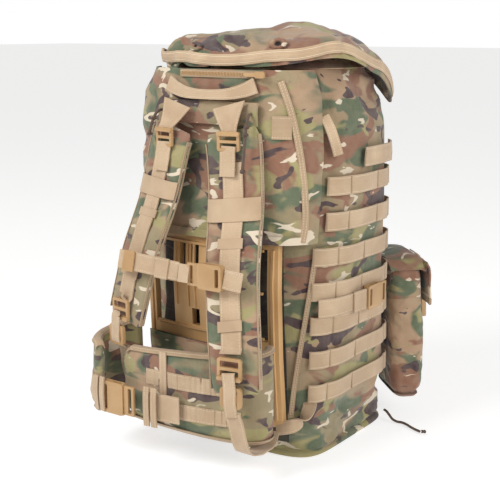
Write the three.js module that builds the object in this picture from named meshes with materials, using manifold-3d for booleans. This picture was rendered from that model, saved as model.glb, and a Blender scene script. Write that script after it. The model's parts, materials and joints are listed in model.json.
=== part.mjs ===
// Framed field rucksack: a cloth bag on a moulded frame, with harness, hip belt, webbing and side pouches.
// Millimetres, +Z up. -Y is the wearer's side, +X the wearer's left. The origin is the middle of the bag's base.
import * as THREE from 'three';
import { mergeVertices } from 'three/addons/utils/BufferGeometryUtils.js';
import Module from 'manifold-3d';

const wasm = await Module();
wasm.setup();

// ---- Driving sizes ----
const GAP = 0.4; // between pieces that touch
const WEB_THICKNESS = 2;
const ROW_WIDTH = 25; // one row of webbing
const ROW_PITCH = 47.5; // rows repeat at about twice their width
const FIRST_ROW = 97;
const ROWS = 7;
const WALL = 4; // cloth panel with its lining
const BASE_THICKNESS = 8;
const BAG_TOP = 534;

// Plan of the bag at a few heights: half width, half depth, corner squareness, and where its middle lies.
const BAG_PLAN = [
  { z: 0, a: 145, b: 120, n: 6, x: 0, y: -3 },
  { z: 12, a: 149, b: 123, n: 6, x: 0, y: -4 },
  { z: 60, a: 153, b: 125, n: 5, x: 2, y: -8 },
  { z: 200, a: 159, b: 124, n: 3.6, x: 4, y: -11 },
  { z: 350, a: 168, b: 123, n: 3, x: 2, y: -11 },
  { z: 450, a: 171, b: 121, n: 2.7, x: 0, y: -10 },
  { z: 500, a: 166, b: 119, n: 2.6, x: 0, y: -10 },
  { z: 540, a: 148, b: 110, n: 2.5, x: 4, y: -10 },
];

// Front face of the frame, from its foot to its top: an S that fills the small of the back.
const FRAME_PROFILE = [
  { z: 48, y: -150 },
  { z: 150, y: -160 },
  { z: 250, y: -165 },
  { z: 310, y: -162 },
  { z: 400, y: -150 },
  { z: 500, y: -145 },
  { z: 560, y: -143 },
];
const FRAME = { halfWidth: 112, foot: 48, top: 524, thickness: 10, edgeSetback: 13, shoulder: 250, taper: 0.08 };

const COLOURS = {
  cloth: 0xa39a6b,
  webbing: 0xc8ac8c,
  plastic: 0xcda064,
  hardware: 0xbe9b69,
  cord: 0x5b4438,
};

// ---- Small tools ----
const vec = (x, y, z) => new THREE.Vector3(x, y, z);
const X = vec(1, 0, 0);
const Y = vec(0, 1, 0);
const Z = vec(0, 0, 1);
const degrees = THREE.MathUtils.degToRad;

/** count + 1 evenly spaced numbers from start to end. */
function steps(start, end, count) {
  return Array.from({ length: count + 1 }, (_, i) => start + ((end - start) * i) / count);
}

/** Straight-line reading of a table of rows at height z. */
function readTable(table, z) {
  const last = table.length - 1;
  let i = 0;
  while (i < last - 1 && z > table[i + 1].z) {
    i += 1;
  }
  const share = THREE.MathUtils.clamp((z - table[i].z) / (table[i + 1].z - table[i].z), 0, 1);
  const row = {};
  for (const key of Object.keys(table[i])) {
    row[key] = table[i][key] + (table[i + 1][key] - table[i][key]) * share;
  }
  return row;
}

/** Point on a superellipse in plan. Angle 0 is +X and 90 degrees is +Y. */
function planPoint(plan, angle, offset, z) {
  const along = (value) => Math.sign(value) * Math.abs(value) ** (2 / plan.n);
  const x = plan.x + (plan.a + offset) * along(Math.cos(angle));
  const y = plan.y + (plan.b + offset) * along(Math.sin(angle));
  return vec(x, y, z);
}

const bagPoint = (angle, z, offset) => planPoint(readTable(BAG_PLAN, z), angle, offset, z);

/** Front face of the frame at x, z. Its edges are set back towards the bag. */
function frameFace(x, z) {
  return readTable(FRAME_PROFILE, z).y + FRAME.edgeSetback * (x / FRAME.halfWidth) ** 2;
}

/** Closed geometry from loose triangles, turned outwards. */
function closedGeometry(points) {
  const flat = new Float32Array(points.length * 3);
  points.forEach((point, i) => point.toArray(flat, i * 3));
  const loose = new THREE.BufferGeometry();
  loose.setAttribute('position', new THREE.BufferAttribute(flat, 3));
  const geometry = mergeVertices(loose, 1e-3);
  const index = Array.from(geometry.index.array);
  const at = (i) => new THREE.Vector3().fromBufferAttribute(geometry.attributes.position, index[i]);
  const kept = [];
  let volume = 0;
  for (let i = 0; i < index.length; i += 3) {
    const [a, b, c] = index.slice(i, i + 3);
    if (a !== b && b !== c && c !== a) {
      kept.push(a, b, c);
      volume += at(i).dot(at(i + 1).cross(at(i + 2)));
    }
  }
  geometry.setIndex(volume < 0 ? kept.reverse() : kept);
  geometry.computeVertexNormals();
  return geometry;
}

/** Solid sheet between a front and a back surface over a grid; cells can be left open. */
function gridSolid(us, vs, front, back, filled = () => true) {
  const points = [];
  const quad = (p, q, r, s) => points.push(p, q, r, p, r, s);
  const isFilled = (i, j) => i >= 0 && j >= 0 && i < us.length - 1 && j < vs.length - 1 && filled(i, j);
  for (let i = 0; i < us.length - 1; i += 1) {
    for (let j = 0; j < vs.length - 1; j += 1) {
      if (!isFilled(i, j)) {
        continue;
      }
      const corners = [[0, 0], [1, 0], [1, 1], [0, 1]];
      const [f0, f1, f2, f3] = corners.map(([di, dj]) => front(us[i + di], vs[j + dj]));
      const [b0, b1, b2, b3] = corners.map(([di, dj]) => back(us[i + di], vs[j + dj]));
      quad(f0, f1, f2, f3);
      quad(b3, b2, b1, b0);
      if (!isFilled(i, j - 1)) {
        quad(f1, f0, b0, b1);
      }
      if (!isFilled(i + 1, j)) {
        quad(f2, f1, b1, b2);
      }
      if (!isFilled(i, j + 1)) {
        quad(f3, f2, b2, b3);
      }
      if (!isFilled(i - 1, j)) {
        quad(f0, f3, b3, b0);
      }
    }
  }
  return closedGeometry(points);
}

/** Skin through a list of rings. The ends are capped, unless the last ring joins the first. */
function loft(rings, joined = false) {
  const points = [];
  const count = rings[0].length;
  const ringPairs = joined ? rings.length : rings.length - 1;
  for (let k = 0; k < ringPairs; k += 1) {
    const low = rings[k];
    const high = rings[(k + 1) % rings.length];
    for (let i = 0; i < count; i += 1) {
      const next = (i + 1) % count;
      points.push(low[i], low[next], high[next], low[i], high[next], high[i]);
    }
  }
  if (!joined) {
    for (const [ring, flip] of [[rings[0], true], [rings.at(-1), false]]) {
      const middle = ring.reduce((sum, p) => sum.add(p), vec(0, 0, 0)).divideScalar(count);
      for (let i = 0; i < count; i += 1) {
        const pair = [ring[i], ring[(i + 1) % count]];
        points.push(middle, ...(flip ? pair.reverse() : pair));
      }
    }
  }
  return closedGeometry(points);
}

/** Strap along a smooth path. widthAlong gives the direction across it at a share 0..1 of its length. */
function strap(path, widthAlong, width, thickness, count = 16) {
  const curve = new THREE.CatmullRomCurve3(path);
  const surface = (side) => (u, v) => {
    const across = widthAlong(u).clone().normalize();
    const normal = curve.getTangentAt(u).cross(across).normalize();
    return curve.getPointAt(u).addScaledVector(across, v).addScaledVector(normal, (side * thickness) / 2);
  };
  return gridSolid(steps(0, 1, count), [-width / 2, width / 2], surface(1), surface(-1));
}

/** Padded strip: a strap whose edges are thinner than its middle. */
function padStrip(path, widthAlong, widthAt, thickness, count = 20) {
  const curve = new THREE.CatmullRomCurve3(path);
  const edgeShare = 0.45;
  const surface = (side) => (u, v) => {
    const across = widthAlong(u).clone().normalize();
    const normal = curve.getTangentAt(u).cross(across).normalize();
    const half = (Math.abs(v) === 1 ? edgeShare : 1) * (thickness / 2);
    const point = curve.getPointAt(u).addScaledVector(across, (v * widthAt(u)) / 2);
    return point.addScaledVector(normal, side * half);
  };
  return gridSolid(steps(0, 1, count), [-1, -0.75, 0, 0.75, 1], surface(1), surface(-1));
}

/** Round tube along a smooth path. */
function cordTube(path, diameter, count) {
  const section = new THREE.Shape();
  section.absarc(0, 0, diameter / 2, 0, 2 * Math.PI);
  const extrudePath = new THREE.CatmullRomCurve3(path);
  const geometry = new THREE.ExtrudeGeometry(section, { steps: count, extrudePath, curveSegments: 8 });
  return tidy(geometry);
}

/** Drops normals and merges the shared vertices, so that the mesh is closed. */
function tidy(geometry) {
  geometry.deleteAttribute('normal');
  geometry.deleteAttribute('uv');
  const merged = mergeVertices(geometry, 1e-3);
  merged.computeVertexNormals();
  return merged;
}

/** Flat outline pushed out along Z, from z = low to z = high. */
function slab(shape, low, high) {
  const geometry = new THREE.ExtrudeGeometry(shape, { depth: high - low, bevelEnabled: false, curveSegments: 3 });
  geometry.translate(0, 0, low);
  return tidy(geometry);
}

/** Rectangle with round corners, as a Shape or, for a hole, as a Path. */
function roundedRect(x0, y0, x1, y1, r, Kind = THREE.Shape) {
  const outline = new Kind();
  outline.moveTo(x0 + r, y0);
  outline.lineTo(x1 - r, y0);
  outline.absarc(x1 - r, y0 + r, r, -Math.PI / 2, 0);
  outline.lineTo(x1, y1 - r);
  outline.absarc(x1 - r, y1 - r, r, 0, Math.PI / 2);
  outline.lineTo(x0 + r, y1);
  outline.absarc(x0 + r, y1 - r, r, Math.PI / 2, Math.PI);
  outline.lineTo(x0, y0 + r);
  outline.absarc(x0 + r, y0 + r, r, Math.PI, 1.5 * Math.PI);
  return outline;
}

const roundedHole = (x0, y0, x1, y1, r) => roundedRect(x0, y0, x1, y1, r, THREE.Path);

function toSolid(geometry) {
  const vertProperties = new Float32Array(geometry.attributes.position.array);
  const triVerts = new Uint32Array(geometry.index.array);
  return new wasm.Manifold(new wasm.Mesh({ numProp: 3, vertProperties, triVerts }));
}

function fromSolid(solid) {
  const mesh = solid.getMesh();
  const geometry = new THREE.BufferGeometry();
  geometry.setAttribute('position', new THREE.BufferAttribute(new Float32Array(mesh.vertProperties), 3));
  geometry.setIndex(new THREE.BufferAttribute(new Uint32Array(mesh.triVerts), 1));
  geometry.computeVertexNormals();
  return geometry;
}

/** One solid from several that overlap. */
function join(...geometries) {
  return fromSolid(geometries.map(toSolid).reduce((sum, solid) => sum.add(solid)));
}

const materials = {};
function materialOf(slot) {
  materials[slot] ??= new THREE.MeshStandardMaterial({
    color: COLOURS[slot],
    roughness: slot === 'plastic' || slot === 'hardware' ? 0.5 : 0.9,
    metalness: 0,
  });
  return materials[slot];
}

const rucksack = new THREE.Group();

function add(name, geometry, slot, parent = rucksack) {
  const mesh = new THREE.Mesh(geometry, materialOf(slot).clone());
  mesh.name = name;
  parent.add(mesh);
  return mesh;
}

/** Lays a piece made along X, with its face to +Z, at a place with its length and its face where asked. */
function lay(mesh, origin, along, face) {
  const x = along.clone().normalize();
  const z = face.clone().addScaledVector(x, -face.dot(x)).normalize();
  mesh.quaternion.setFromRotationMatrix(new THREE.Matrix4().makeBasis(x, z.clone().cross(x), z));
  mesh.position.copy(origin);
  return mesh;
}

// Left is the mirror image of right.
const SIDES = [
  { name: 'right', sign: 1 },
  { name: 'left', sign: -1 },
];
const mirrored = (sign, [x, y, z]) => vec(sign * x, y, z);

// ---- Buckles and locks ----
/** Socket half of a side-release buckle. Its mouth is at x = 0 and its web slot at the far end. */
function buckleSocket(width, length) {
  const half = width / 2;
  const bar = length - 4;
  const slot = roundedHole(bar - 6, -half + 5, bar, half - 5, 1.5);
  const cover = roundedRect(0, -half, length, half, 4);
  cover.holes.push(slot);
  const rails = new THREE.Shape();
  rails.moveTo(0, -half + 0.5);
  rails.lineTo(8, -half + 0.5);
  rails.lineTo(8, -half + 4);
  rails.lineTo(1, -half + 4);
  rails.lineTo(0, -half + 3);
  const upperRail = roundedRect(0, half - 4, 8, half - 0.5, 0.5);
  const tail = roundedRect(length - 16, -half + 0.5, length, half - 0.5, 3);
  tail.holes.push(slot);
  const pieces = [slab(cover, 2.6, 4.6), slab(cover, -4.6, -2.6), slab(tail, -3, 3)];
  return join(...pieces, slab(rails, -3, 3), slab(upperRail, -3, 3));
}

/** Plug half of a side-release buckle: a web bar behind two sprung arms that reach into the socket. */
function bucklePlug(width) {
  const half = width / 2;
  const reach = 20;
  const outline = new THREE.Shape();
  outline.moveTo(-18, -half + 2);
  outline.lineTo(-GAP, -half + 2);
  outline.lineTo(-GAP, -half + 5);
  outline.lineTo(reach - 6, -half + 5);
  outline.lineTo(reach, -half + 9);
  outline.lineTo(reach - 8, -half + 10);
  outline.lineTo(4, -half + 9);
  outline.lineTo(4, half - 9);
  outline.lineTo(reach - 8, half - 10);
  outline.lineTo(reach, half - 9);
  outline.lineTo(reach - 6, half - 5);
  outline.lineTo(-GAP, half - 5);
  outline.lineTo(-GAP, half - 2);
  outline.lineTo(-18, half - 2);
  outline.holes.push(roundedHole(-14, -half + 5, -8, half - 5, 1.5));
  return slab(outline, -2, 2);
}

/** Ladder lock: a flat frame with two bars that a web is threaded round. */
function ladderLock(width, length) {
  const half = width / 2;
  const plate = roundedRect(0, -half, length, half, 4);
  plate.holes.push(roundedHole(4, -half + 4, length * 0.42, half - 4, 1.5));
  plate.holes.push(roundedHole(length * 0.56, -half + 4, length - 6, half - 4, 1.5));
  const lip = roundedRect(length - 5.5, -half, length, half, 2);
  return join(slab(plate, -2, 2), slab(lip, -2, 4));
}

// ---- Frame ----
/** Moulded frame: stiles and rails round rows of slats, with a solid lumbar plate below them. */
function makeFrame() {
  const { foot, top, thickness, shoulder, taper } = FRAME;
  const columns = [-112, -97, -58, -46, -35, -25, -11, 11, 25, 35, 46, 58, 97, 112];
  const rows = [foot, 72, 96, 128, 150, 172, 180, 204, 246, 300, 308, 362, 370, 424, 432, 486, top];
  const outer = (i) => i === 1 || i === 11;
  const inner = (i) => i === 5 || i === 7;
  const isOpen = (i, j) => {
    const slatGap = i % 2 === 1 && [8, 10, 12, 14].includes(j);
    const sideVent = outer(i) && ![0, 4, 9, 15].includes(j);
    const webSlot = inner(i) && [3, 6].includes(j);
    return slatGap || sideVent || webSlot;
  };
  const narrowed = (x, z) => x * (1 - taper * THREE.MathUtils.smoothstep(z, shoulder, top));
  const front = (x, z) => vec(narrowed(x, z), frameFace(narrowed(x, z), z), z);
  const back = (x, z) => vec(narrowed(x, z), frameFace(narrowed(x, z), z) + thickness, z);
  add('frame', gridSolid(columns, rows, front, back, (i, j) => !isOpen(i, j)), 'plastic');
}

// ---- Bag ----
const planRing = (plan, offset, z, count = 48) =>
  steps(0, 2 * Math.PI, count).slice(0, count).map((angle) => planPoint(plan, angle, offset, z));

const bagRing = (z, offset) => planRing(readTable(BAG_PLAN, z), offset, z);

function makeBag() {
  add('bag_base', loft([bagRing(0, 0), bagRing(BASE_THICKNESS, 0)]), 'cloth');
  const heights = [BASE_THICKNESS + GAP, 30, 60, 105, 150, 200, 275, 350, 400, 450, 485, 520, BAG_TOP];
  const seamGap = degrees(0.15);
  const panels = { right: 0, front: 90, left: 180, back: 270 };
  for (const [name, middle] of Object.entries(panels)) {
    const angles = steps(degrees(middle - 45) + seamGap, degrees(middle + 45) - seamGap, 12);
    const outside = (angle, z) => bagPoint(angle, z, 0);
    const inside = (angle, z) => bagPoint(angle, z, -WALL);
    add(`bag_${name}_panel`, gridSolid(angles, heights, outside, inside), 'cloth');
  }
  const collarFoot = BAG_TOP + GAP;
  const collarTop = BAG_TOP + 16;
  const mouth = readTable(BAG_PLAN, BAG_TOP);
  const collarRings = [[-4, collarFoot], [-34, collarTop], [-38, collarTop - 2], [-8, collarFoot]];
  add('collar', loft(collarRings.map(([offset, z]) => planRing(mouth, offset, z)), true), 'cloth');
}

// ---- Lid ----
const LID = { a: 160, b: 132, n: 2.6, x: 17, y: -12, edge: 541, top: 588, droop: 53, cornerWidth: 32, lift: 14 };

/** Height of the lid's lower edge. It droops over one far corner and is lifted at the near one. */
function lidEdge(angle) {
  const turned = THREE.MathUtils.euclideanModulo(THREE.MathUtils.radToDeg(angle) + 90, 360) - 90;
  const near = (middle) => Math.exp(-(((turned - middle) / LID.cornerWidth) ** 2));
  return LID.edge - LID.droop * near(35) + LID.lift * near(-28);
}

function lidRing(reach, inset) {
  return steps(0, 2 * Math.PI, 48).slice(0, 48).map((angle) => {
    const edge = lidEdge(angle);
    const rise = (1 - reach ** 3) ** 0.45;
    const plan = { ...LID, a: (LID.a - inset) * reach, b: (LID.b - inset) * reach };
    return planPoint(plan, angle, 0, edge + (LID.top - inset - edge) * rise);
  });
}

function makeLid() {
  const reaches = [0.06, 0.3, 0.55, 0.75, 0.88, 0.95, 0.985, 1];
  const under = reaches.map((reach) => lidRing(reach, WALL));
  const over = reaches.toReversed().map((reach) => lidRing(reach, 0));
  add('lid_shell', loft([...under, ...over]), 'cloth');
  const angles = steps(degrees(-152), degrees(-28), 20);
  const heights = [LID.edge + 1, LID.edge + 16];
  const band = (offset) => (angle, z) => planPoint(LID, angle, offset, z);
  add('lid_band', gridSolid(angles, heights, band(GAP + 2.5), band(GAP)), 'webbing');
}

// ---- Frame sleeve, yoke, zip and handle ----
const SLEEVE = { foot: 308, top: 534, thickness: 4, clearance: 6, tuck: 15, end: 23 };
const YOKE_FOOT = 462;
const YOKE_TOP = 492;

/** Plan of the sleeve that wraps the frame's upper half. */
function sleevePlan(z) {
  const bag = readTable(BAG_PLAN, z);
  const front = readTable(FRAME_PROFILE, z).y - SLEEVE.clearance;
  return { a: bag.a - SLEEVE.tuck, b: bag.y - front, n: 4.2, x: bag.x, y: bag.y };
}

const sleeveFront = (z) => readTable(FRAME_PROFILE, z).y - SLEEVE.clearance;

function makeSleeve() {
  const angles = steps(degrees(SLEEVE.end - 180), degrees(-SLEEVE.end), 28);
  const heights = [SLEEVE.foot, 355, 400, 450, 500, SLEEVE.top];
  const surface = (offset) => (angle, z) => planPoint(sleevePlan(z), angle, offset, z);
  add('frame_sleeve', gridSolid(angles, heights, surface(0), surface(-SLEEVE.thickness)), 'cloth');
}

function makeYoke() {
  const columns = steps(-82, 82, 6);
  const face = (depth) => (x, z) => vec(x, sleeveFront(z) - depth, z);
  add('yoke_panel', gridSolid(columns, [YOKE_FOOT, YOKE_TOP], face(6), face(1)), 'cloth');
}

const ZIP = { z: 528, left: -48, right: 88, sliderX: 84 };

function makeBackZip() {
  const face = (depth) => (x, z) => vec(x, sleeveFront(z) - depth, z);
  add('zip_track', gridSolid([ZIP.left, ZIP.right], [ZIP.z - 4, ZIP.z + 4], face(2.5), face(0.5)), 'webbing');
  const body = slab(roundedRect(-8, -4, 6, 4, 2), 0, 4);
  const pull = slab(roundedRect(4, -2.5, 24, 2.5, 2), 1, 3);
  const slider = add('zip_slider', join(body, pull), 'hardware');
  lay(slider, vec(ZIP.sliderX, sleeveFront(ZIP.z) - 2.9, ZIP.z), vec(-1, 0, 0), vec(0, -1, 0));
}

const HANDLE = { reach: 70, z: 511, hang: 8, width: 18 };

function makeHandle() {
  const wall = sleeveFront(HANDLE.z) - 4;
  const droop = (x, share) => vec(x, wall - 8 * share, HANDLE.z - HANDLE.hang * share);
  const { reach } = HANDLE;
  const path = [droop(-reach, 0), droop(-reach / 2, 0.8), droop(0, 1), droop(reach / 2, 0.8), droop(reach, 0)];
  add('grab_handle', strap(path, () => Z, HANDLE.width, 4), 'webbing');
}

// ---- Harness ----
const PAD_THICKNESS = 16;
// Middle line of each pad. The right pad hangs in front of the belt. The left one ends above the belt's loop.
const PAD_PATH = {
  right: [[48, -166, 456], [55, -169, 425], [65, -180, 362], [80, -209, 290], [89, -221, 230], [101, -234, 180], [108, -240, 128]],
  left: [[48, -166, 456], [56, -169, 425], [65, -180, 362], [75, -208, 290], [84, -217, 240], [97, -219, 190]],
};
const LOWER_WEB = {
  right: [[110, -252, 104], [114, -248, 80], [117, -236, 48], [114, -206, 38], [108, -170, 38], [99, -147, 44]],
  left: [[105, -217, 152], [109, -206, 134], [111, -194, 96], [106, -183, 56], [104, -168, 40], [99, -147, 43]],
};
// Top end of the adjuster lock and of the quick-release fitting at each pad's lower end.
const LOWER_LOCK = { right: [105, -251, 178], left: [95, -231, 222] };
const RELEASE = { right: [108, -252, 140], left: [102, -232, 184] };
const LIFTER_X = { right: 53, left: 54 };
const PAD_TWIST = 0.2; // the pads face a little outwards

function makePads() {
  const down = vec(0, 0, -1);
  for (const { name, sign } of SIDES) {
    const across = () => vec(1, PAD_TWIST * sign, 0);
    const out = vec(PAD_TWIST * sign, -1, 0).normalize();
    const path = PAD_PATH[name].map((point) => mirrored(sign, point));
    add(`shoulder_pad_${name}`, padStrip(path, across, (u) => 80 - 8 * u, PAD_THICKNESS), 'cloth');
    const webPath = path.slice(1).map((point) => point.clone().addScaledVector(out, PAD_THICKNESS / 2 + 4));
    webPath[0].add(vec(0, 0, -12));
    const last = webPath.at(-1);
    last.copy(mirrored(sign, LOWER_LOCK[name])).add(vec(0, 2, 4));
    if (name === 'right') {
      webPath.splice(-2, 1);
    }
    add(`pad_web_${name}`, strap(webPath, across, 28, WEB_THICKNESS), 'webbing');
    const lifterLock = add(`lifter_lock_${name}`, ladderLock(32, 26), 'hardware');
    lay(lifterLock, vec(sign * LIFTER_X[name], -180, 430), Z, out);
    const lifterPath = [[LIFTER_X[name], -178, 459], [LIFTER_X[name] - 6, -171, 476], [LIFTER_X[name] - 10, -165, 488]];
    const lifterPoints = lifterPath.map((point) => mirrored(sign, point));
    add(`lifter_web_${name}`, strap(lifterPoints, () => X, ROW_WIDTH, WEB_THICKNESS, 8), 'webbing');
    const lowerLock = add(`lower_lock_${name}`, ladderLock(34, 30), 'hardware');
    lay(lowerLock, mirrored(sign, LOWER_LOCK[name]), down, out);
    const release = roundedRect(0, -15, 28, 15, 5);
    release.holes.push(roundedHole(4, -9, 9, 9, 1.5), roundedHole(19, -9, 24, 9, 1.5));
    const fitting = add(`release_fitting_${name}`, slab(release, -2.5, 2.5), 'hardware');
    lay(fitting, mirrored(sign, RELEASE[name]), down, out);
    const lowerPath = LOWER_WEB[name].map((point) => mirrored(sign, point));
    add(`lower_web_${name}`, strap(lowerPath, () => X, ROW_WIDTH, WEB_THICKNESS, 20), 'webbing');
    makePullCord(name, sign);
  }
}

/** Short pull cord with a cord lock, hanging beside the top of each pad. */
function makePullCord(name, sign) {
  const route = PULL_CORD[name].map((point) => mirrored(sign, point));
  add(`pull_cord_${name}`, cordTube(route, CORD_DIAMETER, 14), 'cord');
}

const CORD_DIAMETER = 4;
const PULL_CORD = {
  right: [[74, -159, 478], [75, -165, 477], [77, -171, 472], [79, -178, 458], [80, -183, 436], [81, -189, 404]],
  left: [[74, -159, 478], [75, -165, 477], [77, -171, 472], [79, -178, 458], [80, -182, 444]],
};

// ---- Sternum strap ----
const STERNUM = { x: 46, y: -236, z: 275, buckle: 34, length: 38, release: 16 };

function makeSternumStrap() {
  const { x, y, z } = STERNUM;
  const webEnd = x - 18 - STERNUM.release;
  const leftPath = [vec(-96, y + 1, z + 5), vec(-50, y + 1, z + 3), vec(webEnd, y + 1, z)];
  add('sternum_web_left', strap(leftPath, () => Z, ROW_WIDTH, WEB_THICKNESS, 8), 'webbing');
  const rightPath = [vec(x + STERNUM.length + 1, y + 1, z), vec(x + 52, y + 1, z - 1), vec(x + 66, y + 2, z - 2)];
  add('sternum_web_right', strap(rightPath, () => Z, ROW_WIDTH, WEB_THICKNESS, 6), 'webbing');
  const socket = add('sternum_buckle_socket', buckleSocket(STERNUM.buckle, STERNUM.length), 'hardware');
  const plug = add('sternum_buckle_plug', bucklePlug(STERNUM.buckle), 'hardware');
  for (const half of [socket, plug]) {
    lay(half, vec(x, y, z), X, vec(0, -1, 0));
  }
}

// ---- Hip belt ----
const BELT = { foot: 45, top: 176, thickness: 14, release: 18 };

function makeBelt() {
  const columns = steps(-106, 98, 12);
  const lumbarFace = (depth) => (x, z) => vec(x, frameFace(x, z) - depth, z);
  add('lumbar_pad', gridSolid(columns, [56, 72, 109, 146, 162], lumbarFace(18), lumbarFace(1)), 'cloth');
  const wings = {
    right: [[107, -162], [116, -180], [111, -198], [92, -210], [40, -223], [-40, -229], [-95, -225]],
    left: [[-118, -160], [-137, -180], [-143, -214], [-135, -238], [-118, -250]],
  };
  const nearHeight = BELT.top - BELT.foot;
  for (const [name, plan] of Object.entries(wings)) {
    const farRise = name === 'right' ? 10 : 4;
    const path = plan.map(([x, y], i) => vec(x, y, (BELT.foot + BELT.top) / 2 - (farRise / 5) * (i / 2)));
    const heightAt = (u) => (u > 0.94 ? 0.7 : 1) * (nearHeight - 28 * u);
    add(`belt_wing_${name}`, padStrip(path, () => Z, heightAt, BELT.thickness, 28), 'cloth');
  }
}

const WAIST = { x: -76, y: -250, z: 84, buckle: 46, length: 38 };

function makeWaistBuckle() {
  const { x, y, z } = WAIST;
  const socket = add('waist_buckle_socket', buckleSocket(WAIST.buckle, WAIST.length), 'hardware');
  const plug = add('waist_buckle_plug', bucklePlug(WAIST.buckle), 'hardware');
  for (const half of [socket, plug]) {
    lay(half, vec(x, y, z), vec(-1, 0, 0), vec(0, -1, 0));
  }
  const webStart = x + 18 + BELT.release + 2;
  const path = [vec(webStart, y + 1, z), vec(webStart + 22, y + 5, z), vec(webStart + 50, y + 8, z)];
  add('waist_web', strap(path, () => Z, 38, WEB_THICKNESS, 8), 'webbing');
}

// ---- Webbing on the panels ----
/** Rows of webbing, tied by the stitched uprights between them. */
function webbingGrid(startAngle, endAngle, rowHeights) {
  const upright = degrees(0.8);
  const uprights = steps(startAngle, endAngle, 4);
  const angles = uprights.flatMap((angle, i) => (i < 4 ? [angle, angle + upright] : [angle - upright, angle]));
  const between = angles.flatMap((angle, i) => (i < angles.length - 1 ? [angle, (angle + angles[i + 1]) / 2] : [angle]));
  const heights = rowHeights.flatMap((z) => [z - ROW_WIDTH / 2, z + ROW_WIDTH / 2]);
  const isRow = (j) => j % 2 === 0;
  const isUpright = (i) => i % 4 < 2 || i === between.length - 2;
  const outside = (angle, z) => bagPoint(angle, z, 1 + WEB_THICKNESS);
  const inside = (angle, z) => bagPoint(angle, z, 1);
  return gridSolid(between, heights, outside, inside, (i, j) => isRow(j) || isUpright(i));
}

function makeWebbing() {
  const rows = steps(0, ROWS - 1, ROWS - 1).map((k) => FIRST_ROW + ROW_PITCH * k);
  add('webbing_right', webbingGrid(degrees(-34), degrees(41), rows), 'webbing');
  add('webbing_left', webbingGrid(degrees(139), degrees(214), rows), 'webbing');
  add('webbing_rear', webbingGrid(degrees(58), degrees(122), rows), 'webbing');
}

// ---- Side compression straps ----
const COMPRESSION = { z: 218, y: 16, buckle: 34, length: 38, standOff: 10.5 };

function makeCompression() {
  for (const { name, sign } of SIDES) {
    const bag = readTable(BAG_PLAN, COMPRESSION.z);
    const face = vec(sign, 0, 0);
    const origin = vec(bag.x + sign * (bag.a + COMPRESSION.standOff), COMPRESSION.y, COMPRESSION.z);
    const socket = add(`compression_socket_${name}`, buckleSocket(COMPRESSION.buckle, COMPRESSION.length), 'hardware');
    const plug = add(`compression_plug_${name}`, bucklePlug(COMPRESSION.buckle), 'hardware');
    lay(socket, origin, vec(0, -1, 0), face);
    lay(plug, origin, vec(0, -1, 0), face);
    const tail = COMPRESSION.y - COMPRESSION.length - 1;
    const path = [[bag.a + 9, tail], [bag.a + 6, tail - 30], [bag.a + 1, -88], [bag.a - 12, -112]];
    const points = path.map(([x, y]) => vec(bag.x + sign * x, y, COMPRESSION.z));
    add(`compression_web_${name}`, strap(points, () => Z, ROW_WIDTH, WEB_THICKNESS, 12), 'webbing');
    const angles = steps(-6, 38, 8).map((angle) => degrees(sign > 0 ? angle : 180 - angle));
    const folded = (offset) => (angle, z) => bagPoint(angle, z, offset);
    add(`upper_strap_${name}`, gridSolid(angles, [404, 431], folded(8.5), folded(4)), 'webbing');
  }
}

// ---- Side pouches ----
const POUCH = { inner: 178, outer: 237, half: 62, foot: 36, top: 250, wall: 4, corner: 20, centreY: -8, lean: 7 };
const POUCH_SLOPE = POUCH.lean / (POUCH.top - POUCH.foot);

/** How far the pouch leans towards the bag at height z. */
const leanAt = (z) => POUCH_SLOPE * (z - POUCH.foot);

/** Rectangle in the pouch's own plan with round corners, at height z. */
function pouchRing(inset, z) {
  const radius = POUCH.corner - inset;
  const middleY = (POUCH.inner + POUCH.outer) / 2 - leanAt(z);
  const reachX = POUCH.half - POUCH.corner;
  const reachY = (POUCH.outer - POUCH.inner) / 2 - POUCH.corner;
  const quarters = [[1, 1], [-1, 1], [-1, -1], [1, -1]];
  return quarters.flatMap(([sx, sy], quarter) => steps(quarter * 90, (quarter + 1) * 90, 4).map((angle) => {
    const turn = degrees(angle);
    return vec(sx * reachX + radius * Math.cos(turn), middleY + sy * reachY + radius * Math.sin(turn), z);
  }));
}

function makePouches() {
  for (const { name, sign } of SIDES) {
    const side = new THREE.Group();
    side.position.set(0, POUCH.centreY, 0);
    side.rotation.z = degrees(-45 * sign);
    rucksack.add(side);
    const rings = [
      pouchRing(POUCH.wall, POUCH.foot + POUCH.wall),
      pouchRing(POUCH.wall, POUCH.top),
      pouchRing(0, POUCH.top),
      pouchRing(0, POUCH.foot + 10),
      pouchRing(6, POUCH.foot),
    ];
    add(`pouch_body_${name}`, loft(rings), 'cloth', side);
    makePouchFlap(name, side);
  }
}

/** Flap over the pouch's mouth and down its outer face, with the buckle that holds it down. */
function makePouchFlap(name, side) {
  const roof = POUCH.top + GAP;
  const lip = POUCH.outer + GAP;
  const outline = [
    [POUCH.inner, roof], [lip, roof], [lip, POUCH.top - 66],
    [lip + 3, POUCH.top - 66], [lip + 3, roof + 3], [POUCH.inner, roof + 3],
  ];
  const halfWidth = POUCH.half + 2;
  const ends = [-halfWidth, halfWidth].map((x) => outline.map(([y, z]) => vec(x, y - leanAt(z), z)));
  add(`pouch_flap_${name}`, flapSolid(ends), 'cloth', side);
  const tab = slab(roundedRect(0, -15, 46, 15, 4), -4, 4);
  const buckle = add(`pouch_buckle_${name}`, tab, 'hardware', side);
  const buckleTop = POUCH.top - 52;
  lay(buckle, vec(0, lip + 8 - leanAt(buckleTop), buckleTop), vec(0, POUCH_SLOPE, -1), Y);
}

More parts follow.
